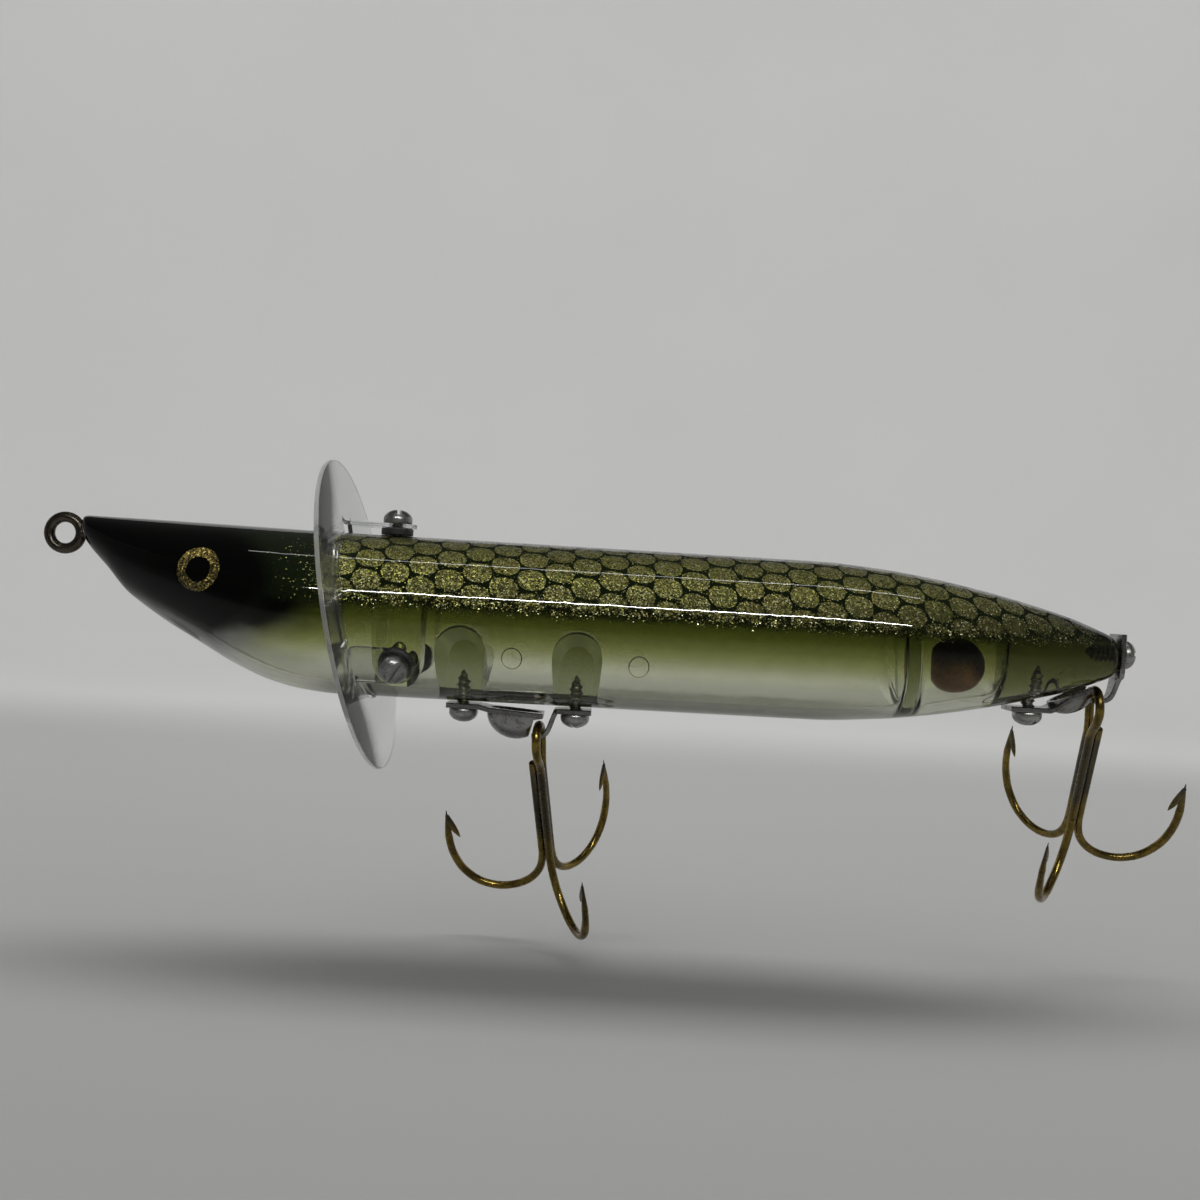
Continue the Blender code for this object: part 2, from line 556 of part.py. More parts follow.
def make_treble(label, eye, azimuths):
    """A double hook, whose one wire also forms the eye, and a single hook brazed against it."""
    treble = Treble(eye, azimuths)
    first, second = azimuths["double"]
    sign = 1 if treble.across.dot(treble.out(first)) > 0 else -1
    shank = SHANK_OFFSET * math.sin(math.radians(60))
    neck = [(shank, 10.5), (shank * 1.05, 8.8), (shank * 1.75, 7.0), (EYE_RADIUS * 0.86, 5.2)]
    arc = [(EYE_RADIUS * math.cos(a), treble.top - EYE_RADIUS * math.sin(a))
           for a in (math.pi * i / 10 for i in range(11))]
    side = neck + arc + [(-w, z) for w, z in reversed(neck)]
    eye_points = [treble.loop_place(sign * w, z) for w, z in side]
    points_a, radii_a = treble.hook(first)
    points_b, radii_b = treble.hook(second)
    points = points_a[::-1] + eye_points + points_b
    radii = radii_a[::-1] + [WIRE / 2] * len(eye_points) + radii_b
    double = wire(f"{label}_treble_double_hook", points, radii, "bronze")
    points_c, radii_c = treble.hook(azimuths["single"])
    top = treble.place(SHANK_OFFSET, azimuths["single"], SINGLE_TOP)
    single = wire(f"{label}_treble_single_hook", [top] + points_c, [WIRE / 2] + radii_c, "bronze")
    for hook, azimuth, number in ((double, first, 1), (double, second, 2), (single, azimuths["single"], 3)):
        boolean(hook, treble.barb(f"{label}_barb_{number}", azimuth), "UNION")
    pivot = bpy.data.objects.new(f"{label}_treble_pivot", None)
    PARTS.objects.link(pivot)
    pivot.location = treble.eye
    for hook in (double, single):
        hook.parent = pivot
        hook.matrix_parent_inverse = Matrix.Translation(-treble.eye)


def make_ball():
    """The rattle ball in its chamber, with its origin at its centre."""
    bm = bmesh.new()
    bmesh.ops.create_uvsphere(bm, u_segments=24, v_segments=16, radius=BALL_RADIUS * MM)
    ball = add("rattle_ball", mesh_from("rattle_ball", bm), "copper")
    s, y, h = BALL_CENTRE
    ball.location = at(s, h, y)


# ---- Build ---------------------------------------------------------------------------------
for old in list(bpy.data.objects):
    bpy.data.objects.remove(old)
PARTS = bpy.data.collections.new("collared_surface_lure")
CUTTERS = bpy.data.collections.new("cutters")
for group in (PARTS, CUTTERS):
    bpy.context.scene.collection.children.link(group)

make_body()
make_collar()
make_screws()
make_line_tie()
make_hangers()
make_treble("front", FRONT_EYE, FRONT_AZIMUTHS)
make_treble("rear", REAR_EYE, REAR_AZIMUTHS)
make_ball()
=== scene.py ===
"""Looks of the clear-bodied surface lure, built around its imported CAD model.

Everything is in the row frame in metres: the origin is the centre of the line-tie ring, +X runs
from nose to tail, +Z is the back and +Y the right flank. Inside this file a place on the lure is
given in millimetres as a station s (from the nose tip, rearwards), a height h (from the body's
axis, up) and y, as in the CAD source.
"""

from math import atan, copysign, cos, hypot, pi, radians, sin, sqrt, tan

import bmesh
import bpy
import numpy as np
from mathutils import Matrix, Vector


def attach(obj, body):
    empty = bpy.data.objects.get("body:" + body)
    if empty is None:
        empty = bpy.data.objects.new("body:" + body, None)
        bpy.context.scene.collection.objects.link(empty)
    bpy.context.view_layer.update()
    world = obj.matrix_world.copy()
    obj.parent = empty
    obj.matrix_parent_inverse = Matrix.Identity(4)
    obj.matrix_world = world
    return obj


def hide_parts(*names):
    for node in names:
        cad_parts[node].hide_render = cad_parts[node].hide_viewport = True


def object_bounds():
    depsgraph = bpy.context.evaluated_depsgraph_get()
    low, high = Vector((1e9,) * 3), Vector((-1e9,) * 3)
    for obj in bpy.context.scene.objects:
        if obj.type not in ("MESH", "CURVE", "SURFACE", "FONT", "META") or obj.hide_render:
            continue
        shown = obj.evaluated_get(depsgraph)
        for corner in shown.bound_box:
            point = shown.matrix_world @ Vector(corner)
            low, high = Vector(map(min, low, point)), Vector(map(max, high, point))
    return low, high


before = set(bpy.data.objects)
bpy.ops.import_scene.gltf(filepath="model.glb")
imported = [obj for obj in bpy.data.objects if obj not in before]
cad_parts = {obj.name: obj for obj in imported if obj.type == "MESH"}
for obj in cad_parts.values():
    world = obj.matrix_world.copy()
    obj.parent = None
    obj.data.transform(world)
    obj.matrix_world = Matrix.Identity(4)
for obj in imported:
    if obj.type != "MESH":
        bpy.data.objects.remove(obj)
CAD_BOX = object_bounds()

MM = 0.001
NOSE_X, AXIS_Z = 3.7, -10.4  # nose tip behind, and body axis below, the line-tie ring's centre
REARWARD, UP = Vector((1, 0, 0)), Vector((0, 0, 1))

# ---- The body's form, as in the CAD source ----
TOP_LINE = [(0, 13.4), (13, 13.3), (41, 13.0), (76, 12.9), (118, 12.75), (128, 12.1), (136, 11.1),
            (143, 9.85), (149, 8.55), (158.6, 6.05), (163, 4.45), (165.6, 3.3), (166.2, 2.6)]
BELLY_LINE = [(0, 8.4), (1.6, 6.8), (4.2, 4.4), (6.8, 1.9), (10.5, -0.7), (14.5, -3.2),
              (19, -5.6), (25.5, -9.1), (31.6, -11.5), (36.2, -12.5), (41, -13.0)]
HALF_WIDTH = [(0, 2.7), (1.6, 3.9), (4.2, 5.3), (6.8, 6.5), (10.5, 7.9), (14.5, 9.2),
              (19, 10.4), (25.5, 11.7), (31.6, 12.6), (36.2, 12.9), (41, 13.0)]
HEAD_END, BODY_END = 41.0, 166.2
NOSE_RAKE, NOSE_RAKE_END = -0.3, 8.0
WALL = 1.8
CAVITY_START, BULKHEAD_START, BULKHEAD_RAKE = 9.5, 130.8, -0.08
CHAMBER_START, CHAMBER_END = 132.6, 147.2
RAKE_REACH = 6.0  # a raked end fades into the hollow over this length
RING_POINTS = 128
SEAM = 0.012  # half of the hairline parting between the two halves
NOSE_ROUNDING = [(0.0, 0.7), (0.12, 0.35), (0.4, 0.1)]  # station and shrink of the first rings
TAIL_ROUNDING = [(0.25, 0.12), (0.08, 0.35), (0.0, 0.7)]  # the same, before the tail's end

# Bosses and ribs inside
OUTSIDE, POST_REACH = 14.0, 13.5  # beyond the body's surface, where the posts' tools end
FRONT_SCREW_S, REAR_SCREW_S = 62.1, 80.1
BELLY_BOSS_WALL, BELLY_BOSS_MIDDLE = (3.85, -0.9), (2.7, -2.4)  # half-width, top height
BOSS_FILLET = [(10.0, 0.0), (10.5, 0.06), (10.9, 0.25), (11.2, 0.7), (13.0, 0.9)]  # y and growth
BOSS_FLARE, BOSS_FLARE_TOP, BOSS_FLARE_FOOT = 1.7, -9.3, -11.25
SIDE_BOSS = dict(start=48.7, end=56.1, top=5.0, bottom=-10.3, depth=5.0)
NOSE_BOSS = dict(start=8.0, end=14.0, half_width=3.5, bottom=7.0)
TOP_BOSS = dict(radius=3.6, bottom=6.5)
HEAD_RIB = dict(foot=(20.6, -8.5), top=(17.6, -0.5), thickness=3.2, half_width=4.0)

# Collar
COLLAR_S, COLLAR_RADIUS, COLLAR_RAKE, SHEET = 44.4, 25.0, 12.0, 0.7
COLLAR_HOLE, TAB_WIDTH, TAB_UNDERSIDE, TAB_BEND = 13.35, 6.2, 14.15, 1.1
TAB_START_R = 18.0  # a tab's strip starts inside the plate
TAB_SCREW_S = dict(top=49.8, left=52.6, right=52.6)
TAB_ELEVATION = dict(top=90.0, left=210.0, right=-30.0)  # degrees in the Y-Z plane
SPACER = dict(bottom=13.05, top=14.12, radius=2.55, bore=1.35, edge=0.1)

# Screws
HEAD_RADIUS, HEAD_HEIGHT, SHAFT_RADIUS, CREST_RADIUS = 2.32, 2.25, 0.8, 1.16
SLOT_WIDTH, SLOT_DEPTH, THREAD_PITCH = 0.7, 0.85, 0.85
COLLAR_SCREW_LENGTH, HANGER_SCREW_LENGTH, TAIL_SCREW_LENGTH = 7.8, 8.2, 7.0
TAB_SLOT_TURN = dict(top=15.0, left=-32.0, right=48.0)  # degrees about each screw
# Station, height of the seat and slot's turn of the screws that point up
BELLY_SCREWS = {"front_hanger_screw_front": (FRONT_SCREW_S, -14.1, 70.0),
                "front_hanger_screw_rear": (REAR_SCREW_S, -14.1, 20.0),
                "tail_hanger_screw_belly": (152.9, -9.5, -25.0)}
TAIL_SCREW_SEAT, TAIL_SCREW_TURN = (167.4, 0.5), 80.0

# Hook hangers
STRIP, STRIP_WIDTH, NECK_WIDTH, STRIP_EDGE = 0.8, 5.0, 1.8, 0.14
# Strips that end in a cup: run of the strip, the cup's half-axes and lean, and what is cut away
SCOOPS = {
    "front": dict(
        path=[(59.5, -13.65), (64.6, -13.65), (66.5, -14.0), (75.2, -14.55)],
        widths=[STRIP_WIDTH, STRIP_WIDTH, 6.4, 6.4],
        cup_centre=(70.6, -14.5), cup_size=(4.7, 3.1, 4.1), cup_lean=4.0,
        mouth=[(75.1, -13.0), (75.0, -15.05), (73.45, -15.3), (72.5, -19.5), (80.0, -19.5),
               (80.0, -13.0)]),
    "tail": dict(
        path=[(149.5, -9.05), (155.9, -9.05), (156.8, -8.7), (159.7, -6.45), (162.7, -5.3)],
        widths=[STRIP_WIDTH, STRIP_WIDTH, STRIP_WIDTH, 4.6, 4.6],
        cup_centre=(159.7, -6.6), cup_size=(3.9, 2.4, 2.7), cup_lean=-24.0,
        mouth=[(162.5, -3.0), (162.45, -6.0), (162.0, -10.0), (168.0, -10.0), (168.0, -3.0)])}
# Strips that bend through a treble's eye
LOOPS = {
    "front": dict(
        path=[(82.7, -13.65), (77.6, -13.65), (76.9, -14.1), (75.9, -16.9), (75.2, -17.75),
              (74.5, -17.95), (73.3, -18.0)],
        widths=[STRIP_WIDTH, STRIP_WIDTH, 3.4, 2.2, NECK_WIDTH, NECK_WIDTH, NECK_WIDTH]),
    "tail": dict(
        path=[(166.9, 3.8), (166.9, -2.4), (166.75, -3.6), (166.05, -6.1), (165.2, -6.95),
              (163.8, -7.15), (162.9, -7.15)],
        widths=[STRIP_WIDTH, STRIP_WIDTH, 3.2, 2.2, NECK_WIDTH, NECK_WIDTH, NECK_WIDTH])}
CUP_SHEET = 0.55  # thickness of a cup's wall

# Treble hooks
WIRE, EYE_RADIUS, SHANK_OFFSET = 1.4, 2.6, 0.9
FRONT_EYE, REAR_EYE = (74.5, -18.8), (163.8, -8.0)
HANG = (0.10, 0.545, -0.83)  # the way both trebles hang
HOOK_BEND = [(0.9, 26.0), (1.0, 29.0), (1.7, 32.0), (3.4, 34.5), (6.0, 36.2), (9.3, 36.85),
             (12.7, 35.9), (15.3, 33.3), (16.6, 30.2), (17.1, 27.2), (17.1, 23.6), (16.9, 19.5)]
POINT_START, SINGLE_TOP, DOUBLE_BRAZE_SHIFT = 25.5, 7.9, 0.45
BARB = dict(root=(16.9, 20.6), tip=(15.15, 25.6))
BRAZE_TOP, BRAZE_END, BRAZE_RADIUS = 9.8, 23.0, 0.72
FRONT_AZIMUTHS = dict(single=185.0, double=(305.0, 65.0))
REAR_AZIMUTHS = dict(single=3.4, double=(123.4, 243.4))

# Line tie and rattle
TIE_WIRE, TIE_RING, TIE_SHAFT_END = 1.7, 2.55, 12.0
BALL_RADIUS, BALL_CENTRE = 4.65, (141.2, 1.9, -2.85)

# ---- Paint and plastic, in millimetres on the body ----
BODY_IOR, SHEET_IOR = 1.34, 1.17  # low, so that what is inside shows near its true place
# The weld's grey tint is painted shade: it darkens what is seen through the posts and the tail block.
CLEAR_TINT, WELD_SHADE_TINT = (0.97, 0.98, 0.94), (0.68, 0.70, 0.64)
MOULD_MARKS = ((70.1, -5.0, 1.6), (89.6, -5.2, 1.6))  # station, height and radius of each
SCALE_S, SCALE_G = 85.0, 7.9  # station and girth of one scale's centre
SCALE_PITCH, SCALE_ROW = 4.17, 4.2  # between columns, and between scales in a column
SCALE_DRIFT, SCALE_DRIFT_END = 0.1, 122.0  # rows sink towards the tail as far as this station
SCALE_LENGTH, SCALE_HEIGHT, SCALE_POWER = 2.2, 1.86, 2.3  # half-axes of one scale's outline
FLECK = 0.17
DIMPLE = (156.8, -3.5, 1.6)  # station, height and radius of the ejector mark on the tail block
EYE = dict(s=21.5, h=5.7, outer=3.4, pupil=1.95)
# Colour that the lacquered coat gives to light crossing both flanks, by height: olive down to clear, then
# dark again at the two lowest stops, which are painted shade along the keel
LACQUER_AND_KEEL_SHADE = [(-12.8, (0.12, 0.125, 0.10)), (-12.0, (0.23, 0.24, 0.20)), (-11.2, (0.64, 0.65, 0.54)),
           (-10.4, (0.72, 0.73, 0.61)), (-9.0, (0.73, 0.74, 0.62)), (-7.5, (0.68, 0.70, 0.55)),
           (-6.0, (0.46, 0.48, 0.32)), (-5.0, (0.37, 0.395, 0.20)),
           (-4.0, (0.30, 0.325, 0.125)), (-3.0, (0.22, 0.24, 0.07)), (-2.0, (0.15, 0.165, 0.035)),
           (-1.0, (0.115, 0.13, 0.026)), (0.0, (0.075, 0.088, 0.012)), (1.2, (0.05, 0.06, 0.007)),
           (2.5, (0.028, 0.036, 0.004))]
TAIL_TINT_AND_GLOW = (1.45, 1.28, 1.9)  # the coat is thinner and browner over the solid tail, and is made lighter there: partly painted light, a glow for light carried along the solid block

# ---- Room and lamps, in metres ----
FLOOR_DROP = 0.004
ROOM_SHAPE = (1.1, 0.45, 0.76)  # reach, cove and wall height
ROOM_LIGHT = 0.07
# Elevation towards the near side, distance, (length, width), offset along the lure, power
STRIPS = [("strip_overhead", 85.0, 0.85, (0.80, 0.015), 0.05, 0.42),
          ("strip_front", 33.5, 0.85, (0.74, 0.012), 0.11, 3.2)]
# Place and aim from the lure's middle, size, power
SOFT_LAMPS = [("soft_overhead", (0.0, -0.15, 0.95), (0.0, 0.1, 0.0), (1.7, 1.5), 3.6),
              ("wall_wash", (0.0, 0.1, 0.85), (0.0, 1.0, 0.1), (1.2, 0.5), 5.9)]


# ---- Mesh helpers ----
def at(s, h, y=0.0):
    """World place of a point at station s, height h and sideways y."""
    return Vector((s + NOSE_X, y, h + AXIS_Z)) * MM


def curve_through(points):
    """A smooth function through (x, value) pairs: cubic steps whose slope never overshoots."""
    x, v = np.array(points, float).T
    rise = np.diff(v) / np.diff(x)
    before, after = rise[:-1], rise[1:]
    inner = np.where(before * after > 0, 2 * before * after / (before + after + 1e-12), 0)
    slope = np.concatenate(([rise[0]], inner, [rise[-1]]))

    def value(s):
        i = np.clip(np.searchsorted(x, s) - 1, 0, len(x) - 2)
        step = x[i + 1] - x[i]
        t = (s - x[i]) / step
        return ((1 + 2 * t) * (1 - t) ** 2 * v[i] + t * (1 - t) ** 2 * step * slope[i]
                + t * t * (3 - 2 * t) * v[i + 1] + t * t * (t - 1) * step * slope[i + 1])

    return value


def rounded_path(points, steps):
    """More points on a smooth curve through the given places (Catmull-Rom)."""
    p = [Vector(q) for q in points]
    ends = [p[0] * 2 - p[1]] + p + [p[-1] * 2 - p[-2]]
    made = []
    for a, b, c, d in zip(ends, ends[1:], ends[2:], ends[3:]):
        for k in range(steps):
            t = k / steps
            made.append(((b * 2) + (c - a) * t + (a * 2 - b * 5 + c * 4 - d) * t * t
                         + (b * 3 - a - c * 3 + d) * t ** 3) / 2)
    return made + [p[-1]]


def circled(radius, angle):
    return radius * cos(angle), radius * sin(angle)


def spread(start, end, steps):
    """Numbers in equal steps, with both ends."""
    return [start + (end - start) * i / steps for i in range(steps + 1)]


def angles(count):
    """Angles that divide a whole turn into equal steps."""
    return [2 * pi * i / count for i in range(count)]


def linked(name, data):
    """A new object in the scene."""
    made = bpy.data.objects.new(name, data)
    bpy.context.scene.collection.objects.link(made)
    return made


def mesh_of(name, bm):
    """A mesh from a bmesh, with its faces pointing out."""
    bmesh.ops.recalc_face_normals(bm, faces=bm.faces)
    mesh = bpy.data.meshes.new(name)
    bm.to_mesh(mesh)
    bm.free()
    return mesh


def loft(name, rings, closed=False):
    """A mesh through rings of equally many points, capped at both ends or closed on itself."""
    bm = bmesh.new()
    loops = [[bm.verts.new(p) for p in ring] for ring in rings]
    for a, b in zip(loops, loops[1:] + (loops[:1] if closed else [])):
        for i in range(len(a)):
            j = (i + 1) % len(a)
            bm.faces.new((a[i], a[j], b[j], b[i]))
    if not closed:
        bm.faces.new(loops[0])
        bm.faces.new(loops[-1])
    return mesh_of(name, bm)


def facing(place, out):
    """A matrix that puts the origin at a place and turns +Z to out."""
    return Matrix.Translation(place) @ out.to_track_quat("Z", "Y").to_matrix().to_4x4()


def rod(start, end, radius, sides=32):
    """A cylinder between two world places."""
    bm = bmesh.new()
    along = end - start
    bmesh.ops.create_cone(bm, cap_ends=True, segments=sides, radius1=radius * MM, radius2=radius * MM,
                          depth=along.length, matrix=facing((start + end) / 2, along))
    return mesh_of("rod", bm)


def box(low, high):
    """A box between two corners given as (s, y, h)."""
    bm = bmesh.new()
    bmesh.ops.create_cube(bm, size=1.0)
    a, b = at(low[0], low[2], low[1]), at(high[0], high[2], high[1])
    bmesh.ops.scale(bm, vec=b - a, verts=bm.verts)
    bmesh.ops.translate(bm, vec=(a + b) / 2, verts=bm.verts)
    return mesh_of("box", bm)


def prism(outline, half_width):
    """An (s, h) outline pushed out to half_width on both sides of the seam."""
    return loft("prism", [[at(s, h, y) for s, h in outline] for y in (-half_width, half_width)])


def turned(profile, place, out, steps=64, closed=False):
    """An (r, z) profile turned about the axis out through place."""
    turn = facing(place, out)
    rings = [[turn @ (Vector((*circled(r, a), z)) * MM) for a in angles(steps)]
             for r, z in profile]
    return loft("turned", rings, closed)


def strip_section(half, thick, edge):
    """The (across, up) corners of a strip with bevelled edges."""
    return ((-half, -thick + edge), (-half + edge, -thick), (half - edge, -thick), (half, -thick + edge),
            (half, thick - edge), (half - edge, thick), (-half + edge, thick), (-half, thick - edge))


def moved(mesh, matrix):
    mesh.transform(matrix)
    return mesh


def combine(base, steps):
    """The base mesh after each (operation, mesh) step, by exact Booleans."""
    holder = linked("holder", base)
    tools = []
    for operation, mesh in steps:
        tools.append(linked("tool", mesh))
        change = holder.modifiers.new("step", "BOOLEAN")
        change.operation = operation
        change.object = tools[-1]
        change.solver = "EXACT"
    ready = holder.evaluated_get(bpy.context.evaluated_depsgraph_get())
    made = bpy.data.meshes.new_from_object(ready)
    for used in (holder, *tools):
        bpy.data.objects.remove(used)
    return made


def sweep(points, radii, flat=None, sides=16):
    """A round wire through world places; flat gives (direction, thickness share) at each place."""
    frames = []
    side = None
    for before, after in zip(points[:1] + points, points[1:] + points[-1:]):
        along = (after - before).normalized()
        side = along.orthogonal() if side is None else side - along * side.dot(along)
        side = side.normalized()
        frames.append((side, along.cross(side)))
    rings = []
    for i, (p, r, (u, v)) in enumerate(zip(points, radii, frames)):
        ring = []
        for a in angles(sides):
            offset = (u * cos(a) + v * sin(a)) * r * MM
            if flat:
                direction, share = flat[i]
                offset -= direction * offset.dot(direction) * (1 - share)
            ring.append(p + offset)
        rings.append(ring)
    return loft("sweep", rings)


def put(name, mesh, materials, body, nodes, sharp=40.0):
    """Makes a shown piece that rides a body, stands for CAD nodes and takes the given finishes."""
    made = linked(name, mesh)
    index = [p.material_index for p in mesh.polygons]
    mesh.materials.clear()
    for finish in materials:
        mesh.materials.append(finish)
    if len(materials) > 1:
        mesh.polygons.foreach_set("material_index", index)
    mesh.shade_smooth()
    mesh.set_sharp_from_angle(angle=radians(sharp))
    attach(made, body)
    if nodes:
        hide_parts(*nodes)
    return made


# ---- Material helpers ----
class Value:
    """What a node gives. Arithmetic on it adds Math nodes to its material."""

    def __init__(self, finish, socket):
        self.finish, self.socket = finish, socket

    def __rsub__(self, other):
        return self.finish.math("SUBTRACT", other, self)

    def __abs__(self):
        return self.finish.math("ABSOLUTE", self)


def arithmetic(operation):
    return lambda self, other: self.finish.math(operation, self, other)


for sign, operation in (("add", "ADD"), ("sub", "SUBTRACT"), ("mul", "MULTIPLY"), ("truediv", "DIVIDE"),
                        ("pow", "POWER"), ("gt", "GREATER_THAN"), ("lt", "LESS_THAN")):
    setattr(Value, f"__{sign}__", arithmetic(operation))


class Finish:
    """Builds one material's nodes around a Principled shader."""

    def __init__(self, name):
        self.material = bpy.data.materials.new(name)
        self.material.use_nodes = True
        self.tree = self.material.node_tree
        self.shader = self.tree.nodes["Principled BSDF"]
        self.output = self.tree.nodes["Material Output"]

    def node(self, kind, inputs=(), **settings):
        """A node with its inputs fed: the first ones in order, or a dict by number or name."""
        made = self.tree.nodes.new("ShaderNode" + kind)
        for key, value in settings.items():
            setattr(made, key, value)
        for key, value in (inputs.items() if isinstance(inputs, dict) else enumerate(inputs)):
            self.feed(made.inputs[key], value)
        return made

    def value(self, kind, inputs=(), output=0, **settings):
        return Value(self, self.node(kind, inputs, **settings).outputs[output])

    def feed(self, socket, value):
        if isinstance(value, Value):
            self.tree.links.new(value.socket, socket)
        elif socket.type == "RGBA":
            socket.default_value = (*value, 1.0)
        else:
            socket.default_value = value

    def set(self, **values):
        """Feeds the shader's sockets, named with underscores for spaces."""
        for key, value in values.items():
            self.feed(self.shader.inputs[key.replace("_", " ")], value)

    def math(self, operation, a, b=0.0, clamp=False):
        return self.value("Math", (a, b), operation=operation, use_clamp=clamp)

    def highest(self, first, *others):
        for other in others:
            first = self.math("MAXIMUM", first, other)
        return first

    def distance(self, a, b):
        """The length of a step with sides a and b."""
        return self.math("SQRT", a * a + b * b)

    def rise(self, value, low, high, start=0.0, end=1.0):
        """Goes smoothly from start to end as value goes from low to high."""
        return self.value("MapRange", (value, low, high, start, end), interpolation_type="SMOOTHSTEP")

    def blend(self, share, a, b):
        """A number between a and b."""
        return self.value("Mix", {0: share, 2: a, 3: b}, data_type="FLOAT")

    def mix(self, share, a, b, blend="MIX"):
        """A colour between a and b, or a times b."""
        return self.value("Mix", {0: share, 6: a, 7: b}, 2, data_type="RGBA", blend_type=blend)

    def ramp(self, value, stops):
        """Colour by value through (value, colour) stops."""
        low, high = stops[0][0], stops[-1][0]
        made = self.node("ValToRGB", ((value - low) / (high - low),))
        points = made.color_ramp.elements
        while len(points) < len(stops):
            points.new(0.5)
        for point, (place, colour) in zip(points, stops):
            point.position = (place - low) / (high - low)
            point.color = (*colour, 1.0)
        return Value(self, made.outputs[0])

    def vector(self, operation, *inputs):
        return self.value("VectorMath", inputs, operation=operation)

    def scaled(self, vector, by):
        return self.value("VectorMath", {0: vector, 3: by}, operation="SCALE")

    def place(self):
        """Millimetres in the row frame, as a vector that moves with the piece."""
        return self.scaled(self.value("TexCoord", output="Object"), 1 / MM)

    def split(self, vector):
        return [Value(self, part) for part in self.node("SeparateXYZ", (vector,)).outputs]

    def noise(self, vector, size, detail=2.0, roughness=0.5):
        """Noise from 0 to 1 with features of about size millimetres."""
        return self.value("TexNoise", {"Vector": vector, "Scale": 1 / size, "Detail": detail,
                                       "Roughness": roughness}, "Fac")

    def cells(self, vector, size, output="Color"):
        """A random colour, or the distance to the centre, in each cell of about size millimetres."""
        return self.value("TexVoronoi", {"Vector": vector, "Scale": 1 / size}, output)

    def bump(self, height, strength, distance, normal=None):
        """A normal from a height in units of distance millimetres."""
        inputs = {"Strength": strength, "Distance": distance * MM, "Height": height}
        if normal:
            inputs["Normal"] = normal
        return self.value("Bump", inputs, "Normal")

    def surface(self, share, first, second):
        """Shows a mix of two shaders."""
        both = self.node("MixShader", (share,))
        for shader, socket in ((first, both.inputs[1]), (second, both.inputs[2]),
                               (both, self.output.inputs["Surface"])):
            self.tree.links.new(shader.outputs[0], socket)

    def let_lamps_through(self, tint, clear=1.0):
        """Clear parts pass lamp light straight on, tinted, so that what is inside is lit."""
        passing = self.node("BsdfTransparent", {"Color": tint})
        self.surface(self.value("LightPath", output="Is Shadow Ray") * clear, self.shader, passing)


# ---- Clear and painted plastic ----
def scale_field(f, s, g):
    """0 in the middle of a scale and 1 on its outline, over two sets of staggered columns."""
    drift = (f.math("MINIMUM", s, SCALE_DRIFT_END) - SCALE_S) * SCALE_DRIFT
    u = (s - SCALE_S) / (2 * SCALE_PITCH)
    v = (g - SCALE_G - drift) / SCALE_ROW
    fields = []
    for shift in (0.5, 1.0):
        along = abs(f.math("FRACT", u + shift) - 0.5) * (2 * SCALE_PITCH / SCALE_LENGTH)
        across = abs(f.math("FRACT", v + shift) - 0.5) * (SCALE_ROW / SCALE_HEIGHT)
        fields.append(along ** SCALE_POWER + across ** SCALE_POWER)
    return f.math("MINIMUM", *fields)


